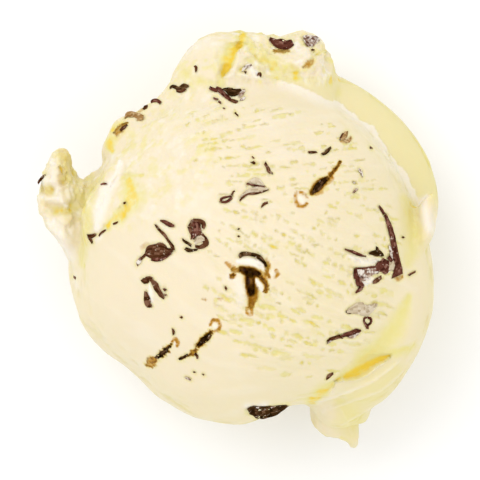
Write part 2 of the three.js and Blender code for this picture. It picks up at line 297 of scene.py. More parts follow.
TAIL = [
    (21.6, -26.6, 21.0, 4.4, 4.6),
    (18.4, -30.2, 18.0, 5.4, 4.0),
    (17.9, -32.6, 16.2, 4.8, 3.0),
    (19.3, -34.2, 15.0, 3.1, 2.3),
    (20.2, -35.6, 14.0, 2.0, 1.8),
    (20.8, -37.0, 13.0, 1.1, 1.4),
    (21.0, -38.6, 12.2, 0.8, 1.1),
]


# ------------------------------------------------------------------ places on the face
# As seen from above, in mm from the middle of the picture: (x, y, half width)

# Creases: (depth, yellow, lip on the right of the path, raggedness, stops)
CREASES = [
    # between the face and the flap, yellow, its lower edge crisp
    (0.8, 0.78, 0.7, 1.0, [(17.6, -25.4, 0.25), (18.8, -24.7, 0.50), (20.6, -24.3, 0.79),
                           (22.4, -23.4, 0.86), (24.0, -22.5, 0.68), (25.6, -21.7, 0.43),
                           (27.1, -21.1, 0.20)]),
    (0.12, 0.6, 0.0, 1.0, [(22.9, -22.3, 0.72), (24.9, -21.3, 0.90), (26.9, -20.6, 0.90),
                           (28.7, -20.1, 0.65), (30.3, -19.6, 0.32)]),
    (0.0, 0.94, 0.0, 0.8, [(19.0, -24.7, 0.43), (20.4, -24.1, 0.83), (22.2, -23.2, 0.90),
                           (23.8, -22.2, 0.68), (25.5, -21.5, 0.43), (26.9, -20.9, 0.20)]),
    (0.4, 0.74, 0.4, 1.6, [(13.0, -29.5, 0.40), (14.3, -28.3, 0.61), (15.8, -27.1, 0.61),
                           (16.8, -26.2, 0.36)]),
    (0.25, 0.62, 0.0, 0.9, [(21.0, -23.0, 0.90), (22.9, -21.4, 1.62), (25.5, -19.3, 1.80),
                            (27.6, -16.7, 1.62), (29.2, -13.7, 1.17), (30.5, -10.4, 0.54)]),
    (0.0, 0.34, 0.0, 0.6, [(27.8, -23.6, 1.44), (24.2, -26.5, 2.34), (20.6, -29.3, 2.34),
                           (19.9, -33.3, 1.62)]),
    (0.0, 0.48, 0.0, 0.8, [(18.1, -29.3, 0.90), (19.7, -31.1, 2.16), (20.4, -33.7, 2.16),
                           (20.6, -36.2, 1.08)]),
    (0.1, 0.4, 0.0, 1.2, [(28.0, -21.1, 0.54), (29.6, -20.2, 0.65), (31.4, -19.1, 0.43)]),
    # under the torn edge
    (0.1, 0.95, 0.0, 1.4, [(-22.6, 18.2, 0.61), (-23.3, 17.0, 0.83), (-22.9, 15.9, 0.43)]),
    (0.1, 0.8, 0.0, 1.8, [(-22.7, 19.6, 0.47), (-22.0, 20.3, 0.61), (-21.2, 20.8, 0.47)]),
    # tip of the tail
    (0.25, 0.62, 0.0, 0.8, [(18.3, -35.8, 0.25), (19.2, -36.3, 0.36), (20.1, -36.7, 0.36),
                            (21.0, -37.3, 0.27)]),
    # cleft in the lobe
    (0.8, 1.1, -0.2, 1.4, [(0.6, 37.0, 0.47), (0.5, 36.0, 0.86), (0.1, 34.9, 0.61)]),
    (1.3, 1.08, -0.35, 1.4, [(-0.1, 34.7, 0.47), (-1.0, 33.8, 0.94), (-1.5, 32.8, 1.15), (-1.9, 31.5, 1.01),
                             (-2.4, 30.2, 0.58)]),
    (0.5, 0.8, 0.0, 2.2, [(-2.5, 31.1, 0.61), (-3.0, 29.7, 0.90), (-3.3, 27.9, 0.72)]),
    # craggy half of the lobe
    (0.6, 0.76, 0.2, 3.0, [(1.7, 35.6, 0.54), (2.6, 33.7, 0.72), (2.2, 32.2, 0.72), (0.6, 30.8, 0.72),
                           (-0.3, 29.7, 0.54)]),
    (0.5, 0.8, 0.2, 3.0, [(3.3, 32.6, 0.72), (4.8, 32.2, 1.08), (7.3, 31.1, 0.90), (10.2, 30.1, 0.54)]),
    (0.5, 0.62, 0.1, 1.4, [(12.9, 32.5, 0.22), (13.9, 33.2, 0.29), (15.0, 33.7, 0.27), (15.9, 34.0, 0.18)]),
    (0.4, 0.5, 0.0, 2.6, [(2.6, 30.8, 0.54), (5.1, 30.1, 0.72), (7.6, 29.5, 0.72), (10.2, 29.3, 0.54)]),
    (0.3, 0.62, 0.0, 2.6, [(-10.3, 30.4, 0.72), (-9.6, 29.3, 1.08), (-7.8, 28.6, 0.72), (-5.0, 27.9, 0.72)]),
    (0.3, 0.45, 0.0, 2.6, [(-9.6, 27.9, 0.72), (-8.5, 26.8, 0.72)]),
    # between the ear and the web
    (0.25, 0.5, 0.0, 1.2, [(-27.2, 11.0, 0.90), (-26.9, 8.8, 1.08), (-26.9, 6.7, 1.08), (-27.3, 3.4, 0.99),
                           (-27.7, 0.2, 0.90), (-28.2, -2.5, 0.72), (-28.3, -4.7, 0.43)]),
    (0.1, 0.52, 0.0, 2.2, [(-26.7, 10.6, 0.54), (-26.0, 9.5, 0.72), (-25.5, 11.0, 0.43)]),
    # between the web and the face, patchy
    (0.45, 0.92, 0.0, 2.4, [(-20.1, 11.2, 0.72), (-19.5, 9.5, 1.44), (-19.2, 7.6, 1.71), (-19.7, 5.9, 1.44),
                            (-20.8, 4.7, 0.90)]),
    (0.55, 1.1, 0.0, 1.6, [(-20.6, 5.9, 0.43), (-20.9, 5.0, 0.97), (-21.7, 4.0, 1.15), (-22.8, 3.1, 0.90),
                           (-23.8, 2.3, 0.54)]),
    (0.25, 0.72, 0.0, 1.6, [(-22.8, 9.9, 0.29), (-21.7, 10.8, 0.36), (-20.2, 11.3, 0.43),
                            (-18.6, 11.4, 0.36), (-17.6, 11.5, 0.22)]),
    # torn foot of the ear
    (0.9, 0.72, 0.2, 2.2, [(-36.2, 9.5, 0.40), (-35.2, 8.8, 0.79), (-34.2, 8.8, 0.79), (-33.2, 9.4, 0.54)]),
    (0.9, 0.8, 0.0, 2.0, [(-32.3, 12.8, 0.43), (-31.7, 11.5, 0.90), (-31.8, 10.3, 0.54)]),
    (0.25, 0.62, 0.0, 2.2, [(-30.5, 11.0, 0.90), (-29.4, 9.2, 1.80), (-28.3, 7.0, 2.16), (-27.6, 4.5, 1.44),
                            (-27.4, 2.0, 0.90)]),
    (0.5, 0.66, 0.0, 2.4, [(-34.8, 6.7, 0.54), (-33.4, 5.6, 0.79), (-31.9, 4.9, 0.65), (-30.5, 5.0, 0.47)]),
    (0.2, 0.66, 0.0, 1.8, [(-32.1, 15.7, 1.08), (-31.4, 14.2, 1.44), (-31.0, 12.4, 1.08)]),
    # under the raised point
    (0.3, 0.5, 0.0, 1.0, [(29.6, 7.4, 0.72), (30.9, 4.5, 1.44), (31.4, 1.3, 1.62), (31.0, -2.0, 1.26),
                          (30.3, -4.5, 0.72)]),
]

# Rim of the face over the smooth belly: (x, y, half width)
RIM = [
    (8.2, 28.3, 0.40), (10.3, 27.7, 0.40), (13.0, 26.5, 0.40), (15.8, 25.1, 0.40), (18.0, 24.7, 0.40),
    (19.6, 23.3, 0.40), (22.6, 20.9, 0.40), (24.2, 20.4, 0.40), (25.2, 18.5, 0.40), (26.8, 15.9, 0.40),
    (29.1, 13.0, 0.40), (30.8, 10.4, 0.40), (31.6, 8.3, 0.40),
]

# Ridges and pale smears: (height, frost, stops)
RIDGES = [
    # ear
    (0.4, 0.6, [(-33.8, 14.2, 0.54), (-33.6, 12.1, 0.72), (-33.2, 10.1, 0.65), (-32.7, 8.3, 0.61),
                (-31.9, 6.8, 0.47), (-30.9, 5.9, 0.36)]),
    (0.0, 0.7, [(-34.3, 3.1, 0.90), (-33.0, 1.3, 1.80), (-31.6, -0.9, 1.80), (-30.5, -3.2, 1.08)]),
    (0.45, 0.6, [(-35.5, 10.8, 0.36), (-35.0, 10.3, 0.81), (-34.1, 10.6, 0.54)]),
    (0.2, 0.5, [(-35.2, 7.7, 0.54), (-34.1, 7.0, 0.90), (-32.7, 6.7, 0.54)]),
    # web
    (0.5, 0.9, [(-21.3, 13.5, 0.54), (-22.1, 11.0, 0.90), (-23.8, 8.6, 1.26), (-24.6, 6.3, 1.35),
                (-25.3, 3.6, 1.08), (-25.5, 1.8, 0.63)]),
    (0.3, 0.5, [(-32.7, 2.5, 1.08), (-31.6, -0.2, 1.08), (-30.5, -2.9, 0.72)]),
    # lobe
    (0.25, 0.35, [(-11.1, 31.9, 0.90), (-8.9, 34.0, 1.26), (-6.2, 34.9, 1.44), (-3.9, 34.0, 1.08)]),
    (0.3, 0.4, [(-2.6, 29.1, 0.27), (-0.6, 29.6, 0.36), (1.3, 29.2, 0.32), (4.0, 28.8, 0.27)]),
    (0.25, 0.5, [(1.5, 31.1, 0.72), (2.4, 30.1, 0.90), (3.1, 29.2, 0.54)]),
    (0.35, 0.45, [(10.2, 35.5, 0.36), (10.3, 34.0, 0.54), (12.0, 32.9, 0.72), (10.9, 31.9, 0.36)]),
    # white flap over the middle hollow
    (0.3, 1.0, [(-0.2, -4.1, 0.47), (1.2, -4.0, 0.68), (2.6, -4.3, 0.72), (3.8, -4.8, 0.61),
                (4.4, -5.4, 0.32)]),
    (0.3, 0.9, [(3.0, -7.3, 0.32), (3.5, -8.3, 0.58), (4.0, -9.2, 0.36)]),
    (0.2, 0.6, [(-1.9, -6.8, 0.72), (-0.3, -7.6, 1.08), (0.3, -9.5, 1.26), (0.1, -11.7, 0.90)]),
    (0.25, 0.6, [(5.2, -5.9, 0.36), (5.8, -6.5, 0.47), (6.0, -5.8, 0.29)]),
    # pale middles of the curled shavings
    (0.2, 0.8, [(10.8, 7.5, 0.29), (11.2, 7.0, 0.54), (11.4, 6.5, 0.32)]),
    (0.2, 0.8, [(-4.5, -15.4, 0.22), (-4.3, -15.7, 0.40)]),
    (0.2, 0.8, [(-11.6, -18.5, 0.18), (-11.5, -18.8, 0.29)]),
    (0.2, 0.9, [(-16.2, -8.1, 0.18), (-15.9, -9.5, 0.47), (-15.9, -11.0, 0.36)]),
    (0.1, 0.7, [(-25.5, -0.2, 0.36), (-24.9, 0.4, 0.43)]),
    # white smears by the cluster on the right
    (0.1, 0.8, [(19.9, -3.2, 0.36), (21.7, -4.0, 0.72), (23.8, -4.1, 0.72), (25.1, -3.8, 0.36)]),
    (0.1, 0.9, [(22.1, -7.0, 0.54), (22.9, -7.7, 0.79), (23.8, -7.4, 0.54)]),
    (0.35, 1.0, [(26.4, -5.8, 0.32), (27.1, -5.1, 0.58), (27.7, -4.2, 0.36)]),
    # raised point
    (0.1, 0.8, [(33.8, 7.7, 0.36), (33.0, 6.3, 0.90), (33.4, 4.1, 1.26), (34.3, 2.0, 1.08)]),
    # over the chip at the front
    (0.1, 0.6, [(1.3, -29.9, 0.54), (2.8, -30.2, 0.72), (4.6, -29.7, 0.54)]),
    # knob at the left
    (0.15, 0.4, [(-29.4, -6.3, 0.36), (-29.4, -7.7, 0.54), (-28.7, -9.2, 0.36)]),
    # drag lines of the lower sheet
    (0.22, 0.34, [(28.5, -22.1, 0.22), (23.8, -25.6, 0.29), (19.0, -27.5, 0.29), (14.5, -29.3, 0.22)]),
    (0.2, 0.26, [(29.6, -23.6, 0.18), (25.3, -27.2, 0.25), (19.9, -29.2, 0.25), (14.8, -31.0, 0.22)]),
    (0.2, 0.24, [(30.3, -25.4, 0.18), (26.7, -28.6, 0.22), (22.8, -31.0, 0.25), (18.4, -33.3, 0.22)]),
    (0.18, 0.2, [(28.2, -27.9, 0.18), (25.3, -30.4, 0.22), (22.8, -33.3, 0.22), (21.3, -35.8, 0.18)]),
    (0.1, 0.1, [(18.1, -30.4, 0.18), (19.2, -32.6, 0.25), (20.2, -35.1, 0.18)]),
]

# Hollows with chocolate in them: (depth, brown, raggedness, stops)
CAVES = [
    # middle hollow
    (2.6, 1.0, 0.5, [(0.2, -5.4, 0.43), (1.2, -5.8, 0.72), (2.2, -6.0, 0.83), (3.5, -6.3, 0.47)]),
    (2.4, 1.0, 0.5, [(1.8, -6.1, 0.72), (1.9, -7.6, 0.86), (2.1, -9.5, 0.76)]),
    (1.5, 0.6, 0.6, [(2.5, -9.2, 0.83), (2.4, -10.6, 0.76), (2.1, -12.0, 0.47)]),
    (0.9, 0.85, 0.6, [(-1.4, -6.7, 0.29), (-1.1, -6.5, 0.36)]),
    (0.8, 0.5, 0.6, [(-1.2, -5.5, 0.32), (-0.2, -5.6, 0.36)]),
    (0.9, 0.8, 0.8, [(3.3, -6.6, 0.32), (4.2, -7.3, 0.32), (4.8, -8.4, 0.32), (4.6, -9.5, 0.27)]),
    (0.6, 0.5, 1.0, [(4.4, -4.1, 0.22), (5.0, -5.2, 0.36), (4.8, -6.5, 0.36)]),
    # upper right slot
    (0.9, 0.75, 0.7, [(18.2, 14.0, 0.18), (17.6, 13.0, 0.29), (16.9, 12.1, 0.29), (16.4, 11.4, 0.25)]),
    (1.2, 0.9, 0.5, [(15.8, 10.9, 0.40), (14.9, 10.2, 0.68), (14.0, 9.3, 0.76), (13.1, 8.4, 0.47)]),
    # slots at the front left
    (1.2, 0.95, 1.2, [(-12.3, -19.0, 0.25), (-13.2, -19.9, 0.36), (-14.2, -21.0, 0.43)]),
    (0.7, 0.74, 1.9, [(-14.7, -21.3, 0.40), (-15.5, -22.0, 0.61), (-16.0, -22.6, 0.47)]),
    (1.2, 0.95, 1.0, [(-5.2, -16.7, 0.36), (-5.9, -17.6, 0.47), (-6.8, -18.6, 0.50), (-7.4, -19.4, 0.36)]),
    (0.7, 0.75, 1.0, [(-7.8, -20.0, 0.29), (-8.7, -20.7, 0.32), (-9.7, -21.2, 0.29), (-10.8, -21.6, 0.18)]),
    # torn edge
    (0.8, 0.55, 1.2, [(-20.3, 20.9, 0.29), (-21.2, 20.0, 0.61), (-22.1, 19.2, 0.54)]),
    # lobe
    (0.5, 0.42, 0.6, [(11.5, 31.0, 0.25), (12.3, 31.4, 0.47), (13.0, 31.9, 0.36)]),
    (0.6, 0.4, 0.5, [(6.2, 34.0, 0.25), (7.5, 33.8, 0.36), (8.8, 33.9, 0.25)]),
]

# Stains of melted chocolate, and painted shade on the ear: (strength, stops)
STAINS_AND_EAR_SHADE = [
    # painted shade on the ear, a darker tan
    (0.1, [(-32.1, 16.0, 0.72), (-31.4, 14.6, 0.90), (-31.0, 12.8, 0.72)]),
    (0.14, [(-35.7, 9.4, 0.47), (-34.6, 8.6, 0.65), (-33.6, 9.2, 0.47)]),
    (0.12, [(-32.3, 12.8, 0.54), (-31.8, 11.3, 0.83), (-32.1, 9.9, 0.54)]),
    (0.08, [(-34.5, 6.3, 0.54), (-32.9, 5.4, 0.72), (-31.2, 5.0, 0.54)]),
    # round the middle hollow
    (0.55, [(4.8, -3.6, 0.25), (5.1, -4.7, 0.32), (5.0, -5.9, 0.29), (5.3, -6.8, 0.29)]),
    (0.5, [(6.6, -5.7, 0.25), (6.9, -6.3, 0.32), (6.5, -6.9, 0.22)]),
    (0.35, [(3.7, -5.9, 0.27), (4.4, -6.5, 0.43), (4.8, -7.2, 0.27)]),
    (0.32, [(-2.4, -4.3, 0.27), (-1.5, -5.0, 0.36), (-0.8, -5.2, 0.27)]),
    # curled rings at the ends of the slots
    (0.5, [(10.3, 8.5, 0.22), (10.0, 7.5, 0.29), (10.4, 6.3, 0.32), (11.4, 5.8, 0.29), (12.1, 6.3, 0.25)]),
    (0.4, [(10.8, 8.5, 0.22), (11.6, 8.2, 0.25), (12.2, 7.5, 0.22)]),
    (0.55, [(-5.2, -15.4, 0.22), (-4.8, -14.7, 0.29), (-4.0, -14.7, 0.29), (-3.5, -15.4, 0.29),
            (-3.8, -16.3, 0.25), (-4.6, -16.6, 0.22)]),
    (0.5, [(-12.1, -18.5, 0.22), (-11.6, -18.0, 0.25), (-11.1, -18.5, 0.25), (-11.2, -19.3, 0.22)]),
    # specks on the face
    (0.5, [(16.3, 11.7, 0.36), (16.6, 10.8, 0.32), (15.6, 9.9, 0.27)]),
    (0.28, [(13.8, 8.1, 0.29), (14.7, 8.5, 0.36)]),
    (0.34, [(27.9, -6.8, 0.25), (28.5, -7.1, 0.36), (29.2, -6.8, 0.25)]),
    (0.36, [(-6.7, -10.8, 0.18), (-6.2, -10.9, 0.25)]),
    (0.36, [(-3.8, -10.7, 0.18), (-3.3, -10.8, 0.23)]),
    (0.25, [(3.0, 0.5, 0.16), (3.3, 0.5, 0.16)]),
    (0.5, [(1.3, -12.5, 0.22), (2.1, -12.6, 0.22), (2.2, -13.5, 0.23), (1.4, -13.5, 0.22),
           (1.3, -12.7, 0.18)]),
    # by the torn side
    (0.3, [(-18.0, 23.1, 0.25), (-17.6, 23.4, 0.25)]),
    (0.3, [(18.3, 17.6, 0.22), (19.2, 17.5, 0.29), (20.0, 18.2, 0.25)]),
    # yellow by the comma flake
    (0.16, [(-17.6, -1.5, 0.36), (-16.8, -1.0, 0.43)]),
]

# Dark flakes and specks
DARK_FLAKES = [
    # back of the face and the lobe
    [(-1.8, 25.2, 0.22), (-1.0, 24.8, 0.31), (-0.3, 24.7, 0.18)],
    [(-3.0, 23.6, 0.14), (-2.6, 23.5, 0.18)],
    [(-0.8, 22.8, 0.14), (-0.6, 22.5, 0.16), (-0.2, 22.2, 0.14)],
    [(-11.4, 26.7, 0.16), (-10.5, 26.6, 0.29), (-9.6, 26.8, 0.16)],
    [(-8.1, 31.2, 0.14), (-7.8, 30.9, 0.23), (-7.8, 30.1, 0.14)],
    [(1.0, 30.2, 0.16), (1.2, 29.9, 0.16)],
    [(3.2, 29.5, 0.14), (3.7, 29.8, 0.22), (3.9, 29.2, 0.13)],
    [(13.0, 34.2, 0.14), (13.3, 33.9, 0.22)],
    # torn edge
    [(-17.3, 23.3, 0.23), (-16.9, 23.8, 0.41), (-16.5, 24.0, 0.20)],
    [(-21.5, 19.5, 0.20), (-20.8, 20.1, 0.34), (-20.2, 20.6, 0.18)],
    # ear
    [(-36.3, 10.0, 0.18), (-36.0, 10.6, 0.27), (-35.4, 11.2, 0.25), (-34.9, 11.6, 0.14)],
    [(-20.9, 6.4, 0.14), (-20.5, 6.6, 0.13)],
    [(-22.8, 2.7, 0.13), (-22.3, 2.9, 0.20), (-21.9, 3.1, 0.11)],
    # left of the face
    [(-27.4, 0.6, 0.22), (-26.7, 0.5, 0.32), (-25.9, 0.8, 0.18)],
    [(-27.2, 0.4, 0.20), (-26.7, -0.3, 0.25), (-26.5, -0.7, 0.14)],
    [(-24.1, 1.7, 0.14), (-24.8, 1.2, 0.22), (-25.3, 0.5, 0.14)],
    [(-29.9, -6.8, 0.18), (-29.5, -7.1, 0.20)],
    # comma
    [(-15.2, 2.6, 0.13), (-14.4, 1.6, 0.25), (-13.5, 0.7, 0.25), (-12.8, -0.3, 0.23), (-12.2, -1.2, 0.27),
     (-11.9, -2.0, 0.25)],
    [(-17.0, -2.4, 0.43), (-16.3, -2.1, 1.04), (-15.2, -2.2, 1.51), (-14.1, -2.2, 1.44), (-13.0, -2.3, 0.83),
     (-12.0, -2.0, 0.29)],
    [(-16.8, -2.7, 0.29), (-17.7, -3.5, 0.23), (-18.2, -4.1, 0.22)],
    # curl
    [(-6.6, 1.9, 0.29), (-6.5, 2.8, 0.36), (-7.4, 3.3, 0.43), (-8.4, 3.1, 0.40), (-9.0, 2.3, 0.32)],
    [(-9.0, 2.2, 0.32), (-8.7, 1.4, 0.54), (-8.0, 0.2, 0.36)],
    [(-7.6, 1.7, 0.22), (-6.9, 0.8, 0.43), (-6.2, -0.1, 0.50), (-6.2, -1.0, 0.47), (-7.0, -1.5, 0.31),
     (-8.0, -1.3, 0.16)],
    # bent flake
    [(-17.6, -7.3, 0.22), (-16.9, -7.5, 0.54), (-16.3, -7.1, 0.43), (-15.8, -7.2, 0.29)],
    [(-16.0, -7.2, 0.32), (-15.2, -8.3, 0.49), (-14.4, -9.5, 0.49), (-13.6, -10.7, 0.22)],
    [(-16.8, -9.5, 0.22), (-16.7, -10.6, 0.49), (-16.4, -11.7, 0.49), (-15.8, -12.1, 0.18)],
    # specks at the front left
    [(-2.6, -8.6, 0.20), (-2.3, -9.1, 0.23)],
    [(-12.0, -16.2, 0.16), (-11.9, -16.7, 0.25), (-11.9, -17.3, 0.14)],
    [(-10.6, -14.0, 0.13), (-10.3, -14.2, 0.14)],
    [(-8.1, -20.6, 0.13), (-7.6, -21.1, 0.22), (-7.6, -21.6, 0.13)],
    [(-8.3, -23.9, 0.11), (-8.0, -24.1, 0.13)],
    [(-6.6, -24.3, 0.13), (-6.4, -24.5, 0.14)],
    # plate
    [(0.0, 6.9, 0.14), (0.7, 7.6, 0.23), (1.5, 8.2, 0.22), (2.6, 8.2, 0.20), (3.9, 8.5, 0.22),
     (5.2, 8.9, 0.13)],
    # loop
    [(-1.4, 7.8, 0.18), (-1.2, 8.4, 0.14), (-0.9, 8.7, 0.11)],
    [(5.1, 6.6, 0.14), (4.5, 6.3, 0.22), (3.9, 5.7, 0.13)],
    # upper right
    [(2.2, 13.9, 0.29), (2.8, 13.6, 0.22)],
    [(2.3, 14.9, 0.14), (2.6, 14.5, 0.13)],
    [(4.5, 13.6, 0.27), (5.0, 13.0, 0.29), (5.3, 12.2, 0.29), (6.0, 11.8, 0.13)],
    [(12.4, 15.7, 0.18), (13.0, 15.6, 0.20), (13.9, 15.7, 0.13)],
    [(18.1, 17.9, 0.16), (18.4, 18.5, 0.20), (18.7, 19.1, 0.13)],
    # right and lower right
    [(24.0, -7.8, 0.22), (24.7, -7.5, 0.38), (25.6, -6.9, 0.25)],
    [(30.5, -6.6, 0.16), (31.0, -6.2, 0.20), (31.7, -5.9, 0.13)],
    [(29.3, 0.4, 0.16), (29.7, 0.2, 0.14)],
    [(19.2, -13.0, 0.16), (19.6, -13.2, 0.23), (20.1, -13.4, 0.13)],
    [(15.6, -25.2, 0.14), (16.1, -24.7, 0.27), (16.9, -24.2, 0.18)],
    [(15.8, -18.4, 0.14), (16.6, -18.0, 0.31), (17.6, -17.7, 0.36), (18.4, -17.6, 0.29)],
]

# Darkest flakes
BLACK_FLAKES = [
    # boat chip at the back
    [(-3.0, 27.1, 0.18), (-2.2, 26.8, 0.47), (-1.4, 26.4, 0.79), (-0.6, 26.5, 0.65), (0.3, 26.9, 0.18)],
    # on the lobe
    [(-12.6, 27.2, 0.18), (-12.0, 27.5, 0.36), (-11.0, 27.1, 0.32), (-10.0, 27.5, 0.40), (-9.2, 27.5, 0.18)],
    [(-10.3, -0.1, 0.18), (-9.6, -0.6, 0.23), (-8.7, -1.2, 0.22)],
    [(-9.8, -1.7, 0.22), (-8.9, -2.0, 0.34), (-7.6, -2.0, 0.14)],
    # specks by the middle
    [(-0.3, 1.8, 0.16), (0.0, 1.8, 0.16)],
    [(-0.3, 0.6, 0.16), (0.0, 0.4, 0.18)],
    # in the slots
    [(-12.5, -19.3, 0.18), (-13.2, -19.9, 0.31), (-14.1, -20.8, 0.40), (-15.0, -21.5, 0.25)],
    [(-5.2, -17.2, 0.29), (-6.0, -17.9, 0.50), (-6.8, -18.6, 0.47), (-7.4, -19.2, 0.22)],
    [(-9.3, -20.8, 0.16), (-10.1, -21.3, 0.22), (-10.9, -21.7, 0.13)],
    # middle hollow
    [(-0.1, -3.2, 0.27), (0.4, -2.8, 0.40), (1.3, -2.7, 0.34), (2.4, -2.8, 0.36), (3.5, -3.3, 0.38),
     (4.3, -4.0, 0.29), (4.8, -5.0, 0.18)],
    [(14.9, 15.2, 0.22), (15.6, 15.6, 0.31), (16.5, 16.5, 0.14)],
    # upper right slot
    [(15.6, 10.8, 0.32), (14.8, 10.1, 0.58), (13.9, 9.2, 0.61), (13.2, 8.5, 0.32)],
    # cluster on the right
    [(23.3, -2.6, 0.16), (24.0, -2.5, 0.36), (24.8, -2.6, 0.61), (25.4, -2.8, 0.40), (25.8, -3.1, 0.16)],
    [(24.8, -1.4, 0.13), (24.9, -2.2, 0.29)],
    # chip at the front edge
    [(1.6, -31.0, 0.43), (2.6, -31.1, 0.94), (3.7, -31.4, 1.19), (5.0, -31.3, 1.22), (6.2, -31.0, 1.04),
     (7.5, -30.5, 0.68), (8.7, -30.0, 0.22)],
]

# Reddish flakes
RED_FLAKES = [
    # back of the face
    [(-5.4, 27.3, 0.22), (-4.9, 27.0, 0.43), (-4.0, 26.7, 0.32)],
    [(-4.2, 27.3, 0.25), (-3.3, 26.6, 0.36), (-2.4, 25.7, 0.40), (-1.5, 25.1, 0.25)],
    [(-4.7, 25.4, 0.16), (-4.0, 25.1, 0.22)],
    [(-3.8, 24.8, 0.18), (-3.3, 24.5, 0.20)],
    # lobe chunk
    [(5.4, 36.1, 0.22), (6.2, 35.5, 0.61), (7.3, 35.1, 0.90), (8.5, 35.0, 0.79), (9.6, 35.4, 0.47)],
    # torn edge
    [(-16.0, 24.7, 0.18), (-15.5, 25.0, 0.31), (-14.8, 24.9, 0.32), (-14.2, 24.5, 0.20)],
    # web
    [(-25.0, 9.8, 0.13), (-24.5, 10.0, 0.20), (-23.9, 10.0, 0.14)],
    # curl
    [(-8.4, 3.1, 0.47), (-7.8, 2.3, 0.86), (-7.9, 1.3, 0.86), (-8.2, 0.2, 0.54)],
    # left
    [(-14.3, 3.3, 0.16), (-13.4, 3.0, 0.29), (-12.5, 2.6, 0.31), (-11.8, 2.3, 0.16)],
    [(-13.6, -8.9, 0.18), (-13.3, -9.3, 0.23)],
    [(-13.5, -10.0, 0.16), (-13.2, -10.2, 0.16)],
    [(-15.9, -3.7, 0.16), (-14.7, -3.7, 0.27), (-13.4, -3.3, 0.23), (-12.3, -2.6, 0.16)],
    # under the pale triangle
    [(1.3, 10.0, 0.13), (2.2, 9.7, 0.18), (3.4, 9.5, 0.18), (4.5, 9.4, 0.13)],
    # loop
    [(-3.4, 6.8, 0.18), (-3.3, 7.3, 0.20), (-2.4, 7.6, 0.16), (-1.5, 7.7, 0.16)],
    [(-3.3, 6.6, 0.16), (-2.4, 6.7, 0.18), (-1.6, 7.2, 0.16), (-1.4, 7.6, 0.14)],
    [(23.5, 16.6, 0.16), (23.8, 16.3, 0.16)],
    # cluster on the right
    [(25.1, 5.9, 0.14), (25.5, 5.3, 0.20), (26.0, 4.5, 0.20)],
    [(26.2, 4.4, 0.20), (26.7, 3.1, 0.34), (27.3, 1.4, 0.45), (27.7, -0.5, 0.52), (28.1, -2.6, 0.56),
     (28.5, -4.4, 0.59), (28.5, -5.6, 0.77), (28.4, -6.7, 0.90)],
    [(24.9, -5.8, 0.54), (25.3, -5.3, 0.97), (26.0, -4.6, 0.97), (26.4, -3.7, 0.61)],
    [(26.8, -3.2, 0.32), (27.6, -3.7, 0.47), (28.3, -4.4, 0.32)],
    [(25.9, -6.2, 0.29), (26.4, -5.8, 0.47), (26.7, -5.1, 0.22)],
    [(20.9, -5.3, 0.22), (21.0, -6.3, 0.40), (21.2, -7.2, 0.47)],
    [(20.9, -5.3, 0.14), (22.1, -5.4, 0.22), (23.5, -5.2, 0.23), (24.8, -4.9, 0.18)],
    [(21.4, -6.8, 0.54), (21.5, -7.9, 0.58), (22.1, -8.5, 0.29)],
    [(22.4, -8.5, 0.16), (21.8, -8.8, 0.36), (20.9, -9.7, 0.14)],
    [(19.0, -1.8, 0.14), (19.9, -2.2, 0.23), (21.0, -2.6, 0.31), (22.1, -3.0, 0.20), (22.8, -3.1, 0.11)],
    [(23.1, -16.2, 0.14), (22.9, -15.6, 0.22), (22.5, -15.0, 0.20), (22.5, -14.4, 0.18), (23.0, -14.1, 0.18)],
    [(23.1, -14.1, 0.18), (23.6, -14.3, 0.18), (23.7, -15.0, 0.18), (23.1, -15.6, 0.16)],
    [(18.4, -17.6, 0.25), (19.1, -17.3, 0.43), (20.1, -17.0, 0.47), (21.1, -16.7, 0.43), (21.9, -16.5, 0.22)],
]

# Frosted flakes
FROSTED_FLAKES = [
    # lobe chip
    [(11.5, 36.1, 0.36), (12.2, 35.8, 0.79), (13.0, 35.7, 0.94), (14.2, 36.2, 0.50)],
    # back of the face
    [(0.0, 25.6, 0.18), (0.4, 26.2, 0.36), (1.0, 26.8, 0.20)],
    [(0.1, 25.1, 0.16), (0.6, 25.2, 0.22), (1.0, 25.6, 0.13)],
    # tail of the comma
    [(-17.8, -3.6, 0.34), (-18.2, -4.1, 0.40), (-18.5, -4.6, 0.22)],
    # lobe
    [(0.4, 30.4, 0.22), (1.3, 31.1, 0.32), (2.2, 31.4, 0.18)],
    # front left
    [(-9.7, -24.9, 0.14), (-9.3, -25.1, 0.20), (-8.8, -25.4, 0.14)],
    # upper right
    [(21.5, 12.7, 0.16), (21.9, 12.0, 0.23), (22.2, 11.2, 0.16)],
    [(20.5, 10.2, 0.14), (20.8, 10.0, 0.14)],
    [(21.3, 9.1, 0.14), (20.9, 8.7, 0.20), (20.5, 8.3, 0.14)],
    # cluster on the right
    [(21.3, -6.2, 0.65), (22.2, -6.2, 0.90), (23.3, -6.0, 0.86), (24.4, -5.9, 0.61), (25.1, -6.0, 0.25)],
    [(21.7, -7.4, 0.22), (22.4, -7.3, 0.32), (23.3, -7.1, 0.18)],
    # on the chip at the front edge
    [(2.0, -30.3, 0.14), (2.7, -30.2, 0.23), (3.5, -30.4, 0.14)],
    [(4.1, -31.0, 0.13), (4.6, -30.8, 0.20)],
    [(5.7, -30.4, 0.13), (6.3, -30.2, 0.18)],
    [(27.0, -1.1, 0.14), (27.2, -2.0, 0.29), (27.4, -3.0, 0.22), (27.6, -3.8, 0.13)],
    [(19.7, -17.6, 0.16), (20.6, -17.5, 0.25), (21.5, -17.0, 0.18)],
    [(15.8, -18.7, 0.13), (16.2, -18.5, 0.18), (16.6, -18.3, 0.13)],
]

